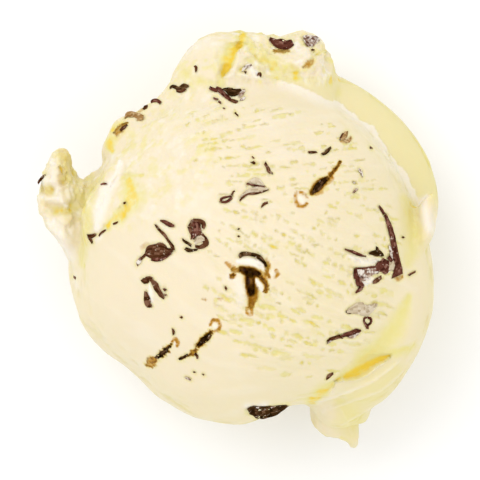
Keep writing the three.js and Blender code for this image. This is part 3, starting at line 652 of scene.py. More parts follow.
# Pale undersides of curled flakes
PALE_FLAKES = [
    # curl
    [(-8.1, -0.7, 0.18), (-7.5, -0.2, 0.54), (-6.8, 0.1, 0.58), (-6.4, -0.3, 0.29)],
    # triangle
    [(1.5, 10.2, 0.14), (2.2, 10.4, 0.43), (2.9, 10.5, 0.65), (3.7, 10.1, 0.40), (4.4, 9.6, 0.13)],
    # plate
    [(0.1, 7.5, 0.13), (0.9, 8.2, 0.25), (2.0, 8.8, 0.40), (3.1, 8.9, 0.54), (4.2, 9.0, 0.40),
     (5.2, 9.0, 0.13)],
    # cluster on the right
    [(26.7, -5.6, 0.29), (27.3, -5.0, 0.65), (27.9, -4.3, 0.43)],
    # below it
    [(19.3, -13.1, 0.18), (20.2, -12.7, 0.61), (21.4, -12.5, 1.01), (22.6, -12.7, 1.08), (23.6, -12.4, 0.72),
     (24.6, -11.6, 0.25)],
]

# Milky crumbs
BROWN_CRUMBS = [
    # torn edge
    [(-20.7, 21.9, 0.25), (-20.1, 22.4, 0.47), (-19.0, 22.4, 0.54), (-18.0, 22.1, 0.58), (-17.3, 21.9, 0.32)],
    [(-18.4, 21.6, 0.22), (-17.7, 21.5, 0.25)],
    # gold crumb
    [(18.3, 17.9, 0.22), (19.0, 18.6, 0.40), (19.3, 19.4, 0.22)],
    [(18.8, 17.8, 0.18), (19.6, 17.7, 0.27), (20.1, 18.3, 0.16)],
]
# More flakes on the sides, where they don't show from above
SIDE_FLAKES = 34  # places tried
LOWEST_FLAKE = 5.0  # mm over the floor
HIGHEST_FLAKE = 25.0
SIDE_TURN = 137.5  # degrees round from one to the next, which spreads them evenly
SIDE_SEED = 300
SHARE_DARK = 0.7  # the others are reddish
SIDE_PROFILE = ((-0.5, 0.2), (-0.2, 0.9), (0.15, 1.0), (0.5, 0.25))  # place along and width, as shares

# Kinds of chocolate, one piece each. Rise and depth: mm over and under the skin. Tones: dark, middle and
# pale, and None is the user's own colour; the pale tone is partly a painted highlight. Bloom: its colour, and
# where in the noise it begins and is full.
KINDS = [
    dict(
        piece="dark_flakes", flakes=DARK_FLAKES, rise=0.20, depth=0.9, sides="dark",
        material="dark chocolate",
        tones=(None, (0.106, 0.040, 0.018), (0.200, 0.100, 0.058)),
        bloom=(0.46, 0.35, 0.25), begins=0.62, full=0.68,
    ),
    dict(
        piece="black_flakes", flakes=BLACK_FLAKES, rise=0.22, depth=0.9, sides=None,
        material="darkest chocolate",
        tones=((0.020, 0.009, 0.002), (0.045, 0.020, 0.006), (0.140, 0.075, 0.035)),
        bloom=(0.55, 0.45, 0.34), begins=0.64, full=0.70,
    ),
    dict(
        piece="red_flakes", flakes=RED_FLAKES, rise=0.28, depth=0.9, sides="red",
        material="red-brown chocolate",
        tones=((0.056, 0.014, 0.008), (0.120, 0.038, 0.024), (0.250, 0.120, 0.085)),
        bloom=(0.60, 0.46, 0.38), begins=0.63, full=0.70,
    ),
    dict(
        piece="frosted_flakes", flakes=FROSTED_FLAKES, rise=0.30, depth=0.8, sides=None,
        material="frosted chocolate",
        tones=((0.115, 0.050, 0.032), (0.300, 0.190, 0.135), (0.520, 0.400, 0.310)),
        bloom=(0.76, 0.70, 0.62), begins=0.47, full=0.60,
    ),
    dict(
        piece="pale_flakes", flakes=PALE_FLAKES, rise=0.24, depth=0.7, sides=None,
        material="pale underside",
        tones=((0.430, 0.330, 0.210), (0.600, 0.500, 0.350), (0.660, 0.570, 0.430)),
        bloom=(0.74, 0.67, 0.56), begins=0.58, full=0.72,
    ),
    dict(
        piece="brown_crumbs", flakes=BROWN_CRUMBS, rise=0.22, depth=0.8, sides=None,
        material="milky crumbs",
        tones=((0.230, 0.110, 0.030), (0.340, 0.190, 0.070), (0.500, 0.330, 0.160)),
        bloom=(0.60, 0.44, 0.24), begins=0.52, full=0.66,
    ),
]


# ------------------------------------------------------------------ skins and folds, in mm

FAR = 60.0  # mm, past everything


def outside_mass(points, at, radii, under=None, turn=0.0, swell=(), soft=None):
    """How far points are outside a rounded mass, in about mm; soft is for the blend and isn't used here."""
    p = points - np.array(at, dtype=float)
    c, s = math.cos(math.radians(turn)), math.sin(math.radians(turn))
    p = np.stack([c * p[:, 0] + s * p[:, 1], -s * p[:, 0] + c * p[:, 1], p[:, 2]], axis=1)
    size = np.empty_like(p)
    size[:, 0] = radii[0]
    size[:, 1] = radii[1]
    size[:, 2] = np.where(p[:, 2] > 0, radii[2], radii[2] if under is None else under)
    if swell:
        bearing = np.degrees(np.arctan2(p[:, 1], p[:, 0]))
        level = (np.hypot(p[:, 0], p[:, 1]) / radii[0]) ** 3
        for where, height, width in swell:
            off = (bearing - where + 540) % 360 - 180
            more = level * height * np.exp(-((off / width) ** 2))
            size[:, 0] += more
            size[:, 1] += more
    near = np.linalg.norm(p / size, axis=1)
    slope = np.linalg.norm(p / size**2, axis=1)
    return near * (near - 1) / np.maximum(slope, 1e-9)


def outside_blend(points, masses, soft, rough, grain, seed):
    """How far points are outside masses that run into each other with rounded hollows."""
    nearest = np.full(len(points), FAR)
    for mass in masses:
        d = outside_mass(points, **mass)
        k = mass.get("soft") or soft
        h = np.maximum(k - np.abs(nearest - d), 0) / k
        nearest = np.minimum(nearest, d) - h * h * k / 4
    return nearest - rough * lumps(points, grain, seed)


def skin(masses, centre, reach=48.0, step=0.8, halvings=9, **blend):
    """A fine ball drawn in, step by step, from its reach to the skin of the blended masses."""
    bm = bmesh.new()
    bmesh.ops.create_icosphere(bm, subdivisions=7, radius=1.0)
    way = np.array([v.co for v in bm.verts])
    way /= np.linalg.norm(way, axis=1)[:, None]
    centre = np.array(centre, dtype=float)
    out = np.full(len(way), reach)
    live = np.arange(len(way))
    while len(live):
        probe = centre + way[live] * (out[live] - step)[:, None]
        free = outside_blend(probe, masses, **blend) > 0
        live = live[free & (out[live] > 2 * step)]
        out[live] -= step
    low = out - step
    for _ in range(halvings):
        middle = (low + out) / 2
        free = outside_blend(centre + way * middle[:, None], masses, **blend) > 0
        out = np.where(free, middle, out)
        low = np.where(free, low, middle)
    for v, co in zip(bm.verts, centre + way * out[:, None]):
        v.co = co
    return bm


def along(stops, t):
    """A smooth curve through rows of numbers, at shares t of the way through them."""
    stops = np.array(stops, dtype=float)
    ends = np.vstack([2 * stops[0] - stops[1], stops, 2 * stops[-1] - stops[-2]])
    at = np.clip(np.asarray(t, dtype=float), 0, 1) * (len(stops) - 1)
    i = np.minimum(at.astype(int), len(stops) - 2)
    f = (at - i)[:, None]
    a, b, c, d = ends[i], ends[i + 1], ends[i + 2], ends[i + 3]
    return 0.5 * (2 * b + (c - a) * f + (2 * a - 5 * b + 4 * c - d) * f**2 + (3 * b - a - 3 * c + d) * f**3)


def heading(stops, t, reach, size):
    """Unit vectors along the curve at shares t, of the given number of places."""
    ahead = along(stops, np.minimum(t + reach, 1)) - along(stops, np.maximum(t - reach, 0))
    return ahead[:, :size] / np.maximum(np.linalg.norm(ahead[:, :size], axis=1), 1e-9)[:, None]


def fold(stops, rough, seed, closing=0.12):
    """A rounded fold that follows a path, closed over a share of its length at both ends."""
    bm = bmesh.new()
    bmesh.ops.create_uvsphere(bm, u_segments=32, v_segments=64, radius=1.0)
    p = np.array([v.co for v in bm.verts])
    t = np.arccos(np.clip(p[:, 2], -1, 1)) / math.pi
    turn = np.arctan2(p[:, 1], p[:, 0])
    near_end = np.minimum(t, 1 - t) / closing
    close = np.where(near_end < 1, np.sqrt(np.maximum(0, 1 - (1 - near_end) ** 2)), 1)
    here = along(stops, t)
    tangent = heading(stops, t, 0.01, 3)
    side = np.stack([-tangent[:, 1], tangent[:, 0], np.zeros(len(p))], axis=1)
    side /= np.linalg.norm(side, axis=1)[:, None]
    up = np.cross(tangent, side)
    offset = side * (np.cos(turn) * here[:, 3] * close)[:, None]
    offset += up * (np.sin(turn) * here[:, 4] * close)[:, None]
    offset *= (1 + rough * lumps(here[:, :3] + offset, 3.0, seed))[:, None]
    for v, co in zip(bm.verts, here[:, :3] + offset):
        v.co = co
    bmesh.ops.recalc_face_normals(bm, faces=bm.faces)
    return bm


# ------------------------------------------------------------------ building


def make_object(name, bm):
    """A mesh object from a bmesh that is in metres already."""
    mesh = bpy.data.meshes.new(name)
    bm.to_mesh(mesh)
    bm.free()
    obj = bpy.data.objects.new(name, mesh)
    bpy.context.scene.collection.objects.link(obj)
    return obj


def applied(obj):
    """The object's mesh with its modifiers applied, put in place of the old one."""
    bpy.context.view_layer.update()
    graph = bpy.context.evaluated_depsgraph_get()
    mesh = bpy.data.meshes.new_from_object(obj.evaluated_get(graph))
    old = obj.data
    obj.modifiers.clear()
    obj.data = mesh
    bpy.data.meshes.remove(old)
    mesh.name = obj.name
    return mesh


def positions(mesh):
    """The mesh's points, in metres."""
    co = np.empty(len(mesh.vertices) * 3)
    mesh.vertices.foreach_get("co", co)
    return co.reshape(-1, 3)


def normals(mesh):
    """Which way the skin faces at each point."""
    no = np.empty(len(mesh.vertices) * 3)
    mesh.vertex_normals.foreach_get("vector", no)
    return no.reshape(-1, 3)


def set_positions(mesh, co):
    """Moves the mesh's points to places in metres."""
    mesh.vertices.foreach_set("co", np.ascontiguousarray(co, dtype=np.float32).ravel())
    mesh.update()


def neighbour_mean(mesh, values, passes=1, share=0.5):
    """Values eased towards the mean of their neighbours."""
    edges = np.empty(len(mesh.edges) * 2, dtype=np.int64)
    mesh.edges.foreach_get("vertices", edges)
    a, b = edges.reshape(-1, 2).T
    count = np.bincount(a, minlength=len(values)) + np.bincount(b, minlength=len(values))
    count = np.maximum(count, 1)[:, None]
    v = values.reshape(len(values), -1)
    for _ in range(passes):
        total = np.zeros_like(v)
        for k in range(v.shape[1]):
            total[:, k] = np.bincount(a, v[b, k], len(v)) + np.bincount(b, v[a, k], len(v))
        v = v + share * (total / count - v)
    return v.reshape(values.shape)


SIDE_FACING = 0.12  # skin that faces up less than this counts as side
KEPT_ON_SIDES = 0.58  # share of the triangles kept there
DETAIL_FACING = 0.15  # skin that faces up less than this has no fine detail
DETAIL_LEVEL = 9  # mm over the floor, and none under it


def detailed(mesh, camera_height):
    """Which points have fine detail seen from above: drag marks, torn parts, creases, the rim and flakes."""
    co, no = positions(mesh) / MM, normals(mesh)
    flat = seen(co, camera_height / MM)
    fine = (dragged_share(flat) > 0.12) | (torn_share(flat) > 0.5)
    places = [stops for *_, stops in (*CREASES, *CAVES, *STAINS_AND_EAR_SHADE)]
    places += [stops for kind in KINDS for stops in kind["flakes"]]
    for stops in (*places, RIM):
        rows, far, width, _ = near_path(flat, stops, 3.5)
        fine[rows[far < 0.6 + 1.2 * width]] = True
    return fine & (no[:, 2] > DETAIL_FACING) & (co[:, 2] > DETAIL_LEVEL)


def fused(name, parts):
    """The masses and folds in one object, over the origin."""
    whole = bmesh.new()
    for part in parts:
        mesh = bpy.data.meshes.new("part")
        part.to_mesh(mesh)
        part.free()
        whole.from_mesh(mesh)
        bpy.data.meshes.remove(mesh)
    bmesh.ops.translate(whole, verts=whole.verts, vec=(*CENTRING, 0))
    bmesh.ops.scale(whole, verts=whole.verts, vec=(MM, MM, MM))
    return make_object(name, whole)


def raw_body(sizes, camera_height):
    """The masses and folds under one even skin, coarser on the sides and finer where there is detail."""
    radius, height = sizes.face_radius / MM, sizes.dome_height / MM
    top, bottom = (*FACE_CENTRE, WAIST - 1), (*BELLY_CENTRE, 18)
    obj = fused("ice_cream", [
        skin(upper_masses(radius, height), top, soft=4, rough=0.35, grain=6, seed=3),
        skin(belly_masses(), bottom, soft=5, rough=0.25, grain=14, seed=9),
        fold(EAR, rough=0.30, seed=31, closing=0.1),
        fold(EAR_FOOT, rough=0.10, seed=35, closing=0.1),
        fold(EAR_FOLD, rough=0.10, seed=33),
        fold(RAISED_POINT, rough=0.12, seed=51),
        fold(TAIL, rough=0.10, seed=52, closing=0.08),
    ])
    remesh = obj.modifiers.new("even skin", "REMESH")
    remesh.mode = "VOXEL"
    remesh.voxel_size = sizes.fineness
    mesh = applied(obj)
    co = neighbour_mean(mesh, positions(mesh), 3)
    co[:, 2] = np.maximum(co[:, 2], 0)
    set_positions(mesh, co)

    low = obj.vertex_groups.new(name="low")
    low.add(np.nonzero(normals(mesh)[:, 2] < SIDE_FACING)[0].tolist(), 1.0, "REPLACE")
    fewer = obj.modifiers.new("fewer triangles on the sides", "DECIMATE")
    fewer.ratio = KEPT_ON_SIDES
    fewer.vertex_group = "low"
    mesh = applied(obj)
    obj.vertex_groups.clear()

    fine = detailed(mesh, camera_height)
    bm = bmesh.new()
    bm.from_mesh(mesh)
    bm.verts.ensure_lookup_table()
    edges = [e for e in bm.edges if fine[e.verts[0].index] and fine[e.verts[1].index]]
    bmesh.ops.subdivide_edges(bm, edges=edges, cuts=1, use_grid_fill=True, smooth=0.0)
    bm.to_mesh(mesh)
    bm.free()
    set_positions(mesh, neighbour_mean(mesh, positions(mesh), 1, 0.3))
    return obj


# ------------------------------------------------------------------ relief and colour of the ice cream


def seen(co, height):
    """Places in mm as the camera sees them, brought to the level of the waist."""
    eye = np.array(CENTRING) + np.array(PICTURE_MIDDLE)
    scale = (height - WAIST) / (height - co[:, 2])
    return eye + (co[:, :2] - eye) * scale[:, None] - np.array(CENTRING)


def near_path(flat, stops, reach=3.0):
    """Which points are near a curve, how far from it, how wide it is there and on which side."""
    fine = along(stops, np.linspace(0, 1, 6 * len(stops)))
    low = fine[:, :2].min(axis=0) - reach
    high = fine[:, :2].max(axis=0) + reach
    rows = np.nonzero(np.all((flat > low) & (flat < high), axis=1))[0]
    p = flat[rows]
    best = np.full(len(rows), 1e9)
    width = np.zeros(len(rows))
    side = np.zeros(len(rows))
    for a, b in zip(fine[:-1], fine[1:]):
        way = b[:2] - a[:2]
        t = np.clip((p - a[:2]) @ way / max(way @ way, 1e-12), 0, 1)
        off = p - a[:2] - t[:, None] * way
        distance = np.hypot(off[:, 0], off[:, 1])
        closer = distance < best
        best[closer] = distance[closer]
        width[closer] = (a[2] + t * (b[2] - a[2]))[closer]
        side[closer] = (way[0] * off[:, 1] - way[1] * off[:, 0])[closer]
    return rows, best, np.maximum(width, 0.05), np.sign(side)


# Bearing in degrees of the drag marks, by how far up the picture they are, in mm
DRAG_LEVELS = [-27, -23, -18, -14, -9, -5, 0, 4, 9, 13, 18, 25]
DRAG_BEARINGS = [12, -3, -15, -25, -30, -30, -26, -22, -3, 4, 10, 18]

# Left edge of the dragged part of the face, by how far up the picture it is, in mm
EDGE_LEVELS = [-26.3, -20, -11, -3.8, 7, 14.2, 25]
EDGE_PLACES = [3.7, -2.6, -4.4, -6.2, -4.4, -7.1, -13.4]


def drag_bearing(flat):
    """Bearing of the marks the scoop dragged over the face, in radians."""
    x, y = flat.T
    bearing = np.interp(y, DRAG_LEVELS, DRAG_BEARINGS)
    bearing = bearing + 10 * smooth_step(6, 2, y) * np.clip((x - 9) / 18, -1, 1)
    bearing = bearing - 15 * smooth_step(12, 24, y) * np.clip((x - 2) / 18, -1, 1)
    return np.radians(bearing)


def combed(flat, size, seed, reach=1.5, steps=9):
    """Noise drawn out along the drag marks, spread about 0 by about 1."""
    bearing = drag_bearing(flat)
    way = np.stack([np.cos(bearing), np.sin(bearing)], axis=1)
    total = np.zeros(len(flat))
    for s in np.linspace(-reach, reach, steps):
        place = np.column_stack([flat + s * way, np.full(len(flat), 0.37 * size)])
        total += lumps(place, size, seed)
    return (total - total.mean()) / total.std()


def dragged_share(flat):
    """1 where the scoop dragged the face open, 0 on the smooth left part and past the rim."""
    x, y = flat.T
    edge = np.interp(y, EDGE_LEVELS, EDGE_PLACES)
    inside = smooth_step(edge - 2.0, edge + 2.5, x)
    out = np.hypot(x - FACE_CENTRE[0], y - FACE_CENTRE[1])
    lower = smooth_step(-26.5, -21.5, y)
    return inside * smooth_step(28.5, 26.0, out) * lower


def torn_share(flat):
    """How torn and crumbly the skin is: most on the ear and the lobe, some on the upper left of the face."""
    x, y = flat.T
    lobe = smooth_step(14.0, 10.0, np.hypot(x - 6.5, y - 33.5)) * smooth_step(26.8, 28.6, y)
    return np.maximum.reduce([
        1.5 * smooth_step(10.0, 6.0, np.hypot(x + 31.5, y - 9.0)),
        1.7 * lobe * smooth_step(-3.0, 0.0, x),
        0.95 * smooth_step(9.5, 7.0, np.hypot(x + 6.0, y - 31.0)),
        0.9 * smooth_step(15.0, 8.0, np.hypot(x + 15.0, y - 15.0)),
        0.8 * smooth_step(7.0, 4.0, np.hypot(x + 20.0, y - 7.0)),
    ])


FACE_REACH = 31  # mm that the drag marks reach from the middle of the face
RIM_REACH = 9.0  # mm that the frost, the step and the painted shade beside the rim reach
PITTED_RADIUS = 28.5  # mm of the face round its centre
GOLDEN_TURN = 2.399963  # radians from one row of pits to the next, which spreads them evenly
LONGEST_PIT = 2.2  # mm from its middle that a pit can reach


def pit_places(count, seed):
    """Pits in broken rows of three along the drag marks.

    Each row: x, y, bearing, half length, half width, share of the depth, tone.
    """
    def drawn(what, at):
        return corner_value(at, what, 7, seed)

    index = np.arange(count)
    row, place_in_row = index // 3, index % 3 - 1
    radius = PITTED_RADIUS * np.sqrt((row + 0.5) / (count / 3))
    spot = np.stack([FACE_CENTRE[0] + radius * np.cos(row * GOLDEN_TURN),
                     FACE_CENTRE[1] + radius * np.sin(row * GOLDEN_TURN)], axis=1)
    spot += 2.0 * np.stack([drawn(1, row) - 0.5, drawn(2, row) - 0.5], axis=1)
    bearing = drag_bearing(spot)
    gap = place_in_row * (1.0 + 0.9 * drawn(10, row))
    spot += np.stack([np.cos(bearing), np.sin(bearing)], axis=1) * gap[:, None]
    spot[:, 1] += 0.30 * (drawn(11, index) - 0.5)
    patchy = 0.50 + 0.50 * lumps(np.column_stack([spot, spot[:, 0] * 0]), 6, seed)
    patchy += 0.22 * smooth_step(3, 12, spot[:, 1])
    kept = drawn(3, index) < dragged_share(spot) * patchy
    larger = 1 + 0.35 * smooth_step(-3, -12, spot[:, 1])
    length = larger * (0.32 + 0.90 * drawn(4, index) ** 2.0)
    width = larger * (0.19 + 0.20 * drawn(5, index))
    bearing = bearing + 0.35 * (drawn(9, index) - 0.5)
    strength = 0.40 + 0.60 * drawn(6, index)
    tone = 0.35 + 0.65 * drawn(8, index)
    return np.column_stack([spot, bearing, length, width, strength, tone])[kept]


def pits(flat, rows, count, seed):
    """Share of the pit depth, and how yellow it is there, at each point: short lens-shaped pits."""
    depth = np.zeros(len(flat))
    colour = np.zeros(len(flat))
    near = flat[rows]
    warp = 0.22 * lumps(np.column_stack([near, near[:, 0]]), 0.6, seed + 3)
    tall = 0.19 * lumps(np.column_stack([near, near[:, 1]]), 0.45, seed + 5)
    for x, y, bearing, length, width, strength, tone in pit_places(count, seed):
        off = near - (x, y)
        close = np.nonzero(np.abs(off).max(axis=1) < LONGEST_PIT)[0]
        c, s = math.cos(bearing), math.sin(bearing)
        u = (c * off[close, 0] + s * off[close, 1] + warp[close]) / length
        v = (-s * off[close, 0] + c * off[close, 1] + tall[close]) / width
        bowl = np.clip(1 - u * u - v * v / (1 - 0.35 * np.clip(u, -1, 1)), 0, 1)
        at = rows[close]
        depth[at] = np.maximum(depth[at], strength * np.sqrt(bowl))
        colour[at] = np.maximum(colour[at], tone * smooth_step(0.0, 0.5, bowl))
    return depth, colour


def at_least(tint, rows, share):
    """Raises a tint to a share where it is less."""
    tint[rows] = np.maximum(tint[rows], share)


class Relief:
    """The skin while it is carved. By point: mm that it moves out and drops, and the share of each tint."""

    def __init__(self, mesh, camera_height):
        self.mesh = mesh
        self.co = positions(mesh) / MM
        self.no = normals(mesh)
        self.flat = seen(self.co, camera_height / MM)
        self.up = smooth_step(0.1, 0.5, self.no[:, 2])
        self.low = smooth_step(26, 20, self.co[:, 2])
        self.out, self.drop, self.yellow, self.frost, self.brown, self.white = np.zeros((6, len(self.co)))
        self.ragged = 0.22 * layers(self.co, 1.1, seed=61)
        self.rough_edge = 0.30 * layers(self.co, 1.5, seed=64)
        self.crumb = layers(self.co, 0.8, seed=77)
        self.crumbly = smooth_step(-0.5, 0.5, layers(self.co, 0.55, seed=66))
        self.from_centre = np.hypot(*(self.flat - FACE_CENTRE).T)
        self.face = np.nonzero((self.up > 0) & (self.from_centre < FACE_REACH))[0]
        self.dragged = dragged_share(self.flat[self.face])

    def soft_lumps(self):
        """Soft unevenness all over, finer on the upper half."""
        self.out += 0.10 * layers(self.co, 4.5, seed=62)
        self.out += 0.05 * (1 - self.low) * layers(self.co, 1.2, seed=63)

    def drag_marks(self):
        """Fine and broad lines that the scoop combed over the face."""
        face, share = self.face, self.dragged
        fine = combed(self.flat[face], 0.42, seed=71)
        broad = combed(self.flat[face], 1.3, seed=72, reach=4.0, steps=11)
        self.out[face] += (0.035 + 0.05 * share) * broad + 0.022 * (0.3 + share) * fine
        grooves = 0.10 * smooth_step(0.6, 2.2, -fine) + 0.06 * smooth_step(0.5, 2.0, -broad)
        self.yellow[face] += share * grooves
        self.frost[face] += 0.16 * smooth_step(0.3, 1.8, broad)

    def tears(self):
        """Lumps, crumbs and patches of the ear, the lobe and the torn edge."""
        co, flat, crumb = self.co, self.flat, self.crumb
        torn = torn_share(flat) * smooth_step(-0.3, 0.2, self.no[:, 2]) * smooth_step(10, 16, co[:, 2])
        ear = 0.9 * smooth_step(-26, -29, flat[:, 0])
        lobe = 0.5 * smooth_step(-3, 3, flat[:, 0]) * smooth_step(26, 29, flat[:, 1])
        self.out += torn * (1 + ear + lobe) * (0.28 * layers(co, 2.0, seed=78) + 0.16 * crumb)
        olive = torn * (1 - 0.6 * smooth_step(-24, -28, flat[:, 0]))
        patches = smooth_step(0.0, 0.5, layers(co, 1.7, seed=79) + 0.5 * crumb)
        self.yellow += np.minimum(olive * 0.44, 0.5) * patches
        self.frost += torn * 0.50 * smooth_step(0.05, 0.5, layers(co, 1.5, seed=80) - 0.3 * crumb)

    def smooth_part(self):
        """Frosted patches on the smooth left of the face."""
        face = self.face
        left = (1 - self.dragged) * smooth_step(30, 24, self.from_centre[face])
        upper = smooth_step(-2, 6, self.flat[face][:, 1])
        self.frost[face] += 0.30 * upper * left * smooth_step(0.0, 0.4, layers(self.co[face], 2.6, seed=73))

    def pitted(self, sizes):
        """Pits with a low lip round them."""
        depth, colour = pits(self.flat, self.face, sizes.pit_count, seed=81)
        self.drop += depth * sizes.pit_depth / MM
        self.yellow += 0.56 * colour
        self.out += 0.10 * np.maximum(neighbour_mean(self.mesh, depth, 3, 0.6) - depth, 0)

    def rim(self):
        """The edge of the face over the smooth belly: frosted, with a step down past it, where the belly is
        yellowed as painted shade.
        """
        rows, far, _, side = near_path(self.flat, RIM, RIM_REACH)
        rough = self.rough_edge[rows]
        past = side * far + 1.1 * rough + 0.35 * self.crumb[rows]
        x, y = self.flat[rows].T
        fade = smooth_step(RIM_REACH, 7.5, far) * smooth_step(5.0, 8.0, y)
        fade *= np.maximum(smooth_step(29.6, 29.0, y + 0.5 * rough), smooth_step(16.0, 17.0, x))
        # painted shade: the belly past the rim is made yellower and darker, where the rim shades it
        self.yellow[rows] += 0.33 * smooth_step(-0.08, 0.10, past) * fade
        self.drop[rows] += 0.32 * smooth_step(-0.08, 0.18, past) * smooth_step(3.5, 0.8, past) * fade
        self.frost[rows] += 0.65 * smooth_step(-2.4, -0.3, past) * smooth_step(0.02, -0.08, past) * fade

    def creases(self):
        """Yellow creases, some with a raised, frosted lip on one side."""
        blotch = smooth_step(-0.55, 0.35, layers(self.co, 1.3, seed=65))
        for depth, tone, lip, rag, stops in CREASES:
            rows, far, width, side = near_path(self.flat, stops)
            far = np.abs(far + rag * self.rough_edge[rows])
            lip_side = side * np.sign(lip or 1) < 0
            if abs(lip) > 0.3:
                far = far * np.where(lip_side, 1.5, 0.55)
            self.drop[rows] += self.up[rows] * depth * np.clip(1 - (far / (1.5 * width)) ** 2, 0, 1)
            edge = np.exp(-((far - 1.6 * width) / (0.6 * width)) ** 2) * lip_side
            self.out[rows] += self.up[rows] * abs(lip) * 0.7 * edge
            patchy = 1 - min(0.22 * rag, 0.7) * (1 - blotch[rows])
            at_least(self.yellow, rows, tone * patchy * smooth_step(2.2, 0.0, far / width))
            self.frost[rows] += 0.4 * abs(lip) * edge

    def ridges(self):
        """Ridges and pale smears; the palest have a flat top."""
        for height, tone, stops in RIDGES:
            rows, far, width, _ = near_path(self.flat, stops)
            hump = np.exp(-(np.abs(far + 0.8 * self.ragged[rows]) / width) ** (4 if tone > 0.85 else 2))
            self.out[rows] += self.up[rows] * height * hump
            at_least(self.white, rows, tone * hump)
        self.frost += self.white

    def caves(self):
        """Hollows with chocolate in them, unevenly brown, with a tan and yellow rim."""
        for depth, tone, rag, stops in CAVES:
            rows, far, width, _ = near_path(self.flat, stops)
            crumbly = self.crumbly[rows]
            far = np.maximum(far + 1.3 * rag * self.ragged[rows] + 0.4 * rag * (crumbly - 0.5), 0) / width
            self.drop[rows] += depth * smooth_step(1.25, 0.7, far)
            uneven = min(0.22 + 0.28 * rag, 0.6)
            inside = tone * (1 - uneven + 1.2 * uneven * crumbly) * smooth_step(1.25, 0.9, far)
            at_least(self.brown, rows, inside)
            at_least(self.brown, rows, 0.42 * tone * smooth_step(1.9, 1.1, far) * crumbly)
            at_least(self.yellow, rows, 0.5 * smooth_step(2.4, 1.3, far))

    def stains_and_ear_shade(self):
        """Stains of melted chocolate, and the painted shade on the ear, a little sunken."""
        for tone, stops in STAINS_AND_EAR_SHADE:
            rows, far, width, _ = near_path(self.flat, stops)
            far = np.maximum(far + 0.7 * self.ragged[rows], 0) / width
            uneven = tone * (0.45 + 0.85 * self.crumbly[rows])
            at_least(self.brown, rows, uneven * smooth_step(1.6, 0.7, far))
            self.drop[rows] += 0.15 * smooth_step(1.3, 0.4, far)

    def flake_beds(self):
        """Shallow yellow beds that the flakes lie in."""
        for stops in (stops for kind in KINDS for stops in kind["flakes"]):
            rows, far, width, _ = near_path(self.flat, stops)
            far = far + 0.5 * self.ragged[rows]
            self.drop[rows] += 0.16 * smooth_step(0.35, 0.0, far - width)
            at_least(self.yellow, rows, 0.3 * smooth_step(0.6, 0.1, far - width))

    def only_where_shown(self):
        """Takes the picture's details off the sides and the underside."""
        shown = smooth_step(-0.1, 0.2, self.no[:, 2]) * smooth_step(12, 18, self.co[:, 2])
        for values in (self.drop, self.yellow, self.frost, self.brown, self.white):
            values *= shown

    def sides(self):
        """Sideways marks and yellow dents on the steep sides."""
        steep = (1 - smooth_step(0.25, 0.6, self.no[:, 2])) * smooth_step(2, 6, self.co[:, 2])
        self.out += 0.22 * steep * layers(self.co * (0.3, 0.3, 1.0), 2.2, seed=84)
        dents = steep * smooth_step(0.14, 0.42, layers(self.co * (0.45, 0.45, 1.0), 1.4, seed=85))
        self.out -= 0.28 * dents
        self.yellow += 0.22 * dents

    def move(self):
        """Moves the skin, and returns by how many mm each point then lies in a hollow."""
        moved = self.co + self.no * self.out[:, None]
        moved[:, 2] -= self.drop
        moved[:, 2] = np.maximum(moved[:, 2], 0)
        set_positions(self.mesh, moved * MM)
        hollow = neighbour_mean(self.mesh, moved, 14, 0.7) - moved
        return np.einsum("ij,ij->i", hollow, self.no)

    def tints(self, hollow):
        """Shares of yellow, frost and brown: yellow also as painted shade in hollows, on steep parts and to
        the far right.
        """
        co, yellow = self.co, self.yellow
        hollow = neighbour_mean(self.mesh, hollow, 2)
        # painted shade: the cream is yellower and darker the deeper a point lies in a hollow
        yellow += 0.55 * smooth_step(0.05, 0.36, hollow) * (1 - self.low * 0.6)
        # painted shade: yellower where the skin faces sideways, on the steep sides
        yellow += 0.16 * smooth_step(0.85, 0.1, self.no[:, 2])
        # painted shade: yellower towards the right and the front, the side turned away from the key light
        yellow += 0.11 * smooth_step(-6, 26, 0.8 * co[:, 0] - 0.6 * co[:, 1])
        yellow += 0.06 * self.low * layers(co, 9, seed=76)
        yellow = np.minimum(yellow, 0.62 + smooth_step(-31, -29, self.flat[:, 1]))
        yellow *= 1 - np.clip(1.3 * self.white, 0, 1)
        brown = self.brown * (1 - smooth_step(0.45, 0.85, self.white))
        frost = self.frost * (1 - np.clip(yellow, 0, 1))
        return np.clip(np.stack([yellow, frost, brown, np.zeros(len(co))], axis=1), 0, 1)


def sculpt(mesh, sizes, camera_height):
    """Moves the skin into creases, hollows, pits and drag marks, and returns the tints for them."""
    relief = Relief(mesh, camera_height)
    relief.soft_lumps()
    relief.drag_marks()
    relief.tears()
    relief.smooth_part()
    relief.pitted(sizes)
    relief.rim()
    relief.creases()
    relief.ridges()
    relief.caves()
    relief.stains_and_ear_shade()
    relief.flake_beds()
    relief.only_where_shown()
    relief.sides()
    return relief.tints(relief.move())


def paint(mesh, name, values):
    """Stores four numbers a point for the material to read."""
    layer = mesh.color_attributes.new(name, "FLOAT_COLOR", "POINT")
    layer.data.foreach_set("color", np.ascontiguousarray(values, dtype=np.float32).ravel())


# ------------------------------------------------------------------ materials


def new_material(name):
    """A material with its node tree and its own Principled shader."""
    material = bpy.data.materials.new(name)
    material.use_nodes = True
    tree = material.node_tree
    return material, tree, tree.nodes["Principled BSDF"]


def put(tree, socket, value):
    """Gives a socket another node's output, or a colour or number of its own."""
    if isinstance(value, bpy.types.NodeSocket):
        tree.links.new(value, socket)
    elif socket.type == "RGBA":
        socket.default_value = (*value, 1)
    else:
        socket.default_value = value


def feed(tree, node, **inputs):
    """Gives a node's named inputs their values, and returns the node."""
    for name, value in inputs.items():
        put(tree, node.inputs[name.replace("_", " ")], value)
    return node


def add(tree, kind, **inputs):
    """A new node of one kind with its inputs."""
    return feed(tree, tree.nodes.new(kind), **inputs)


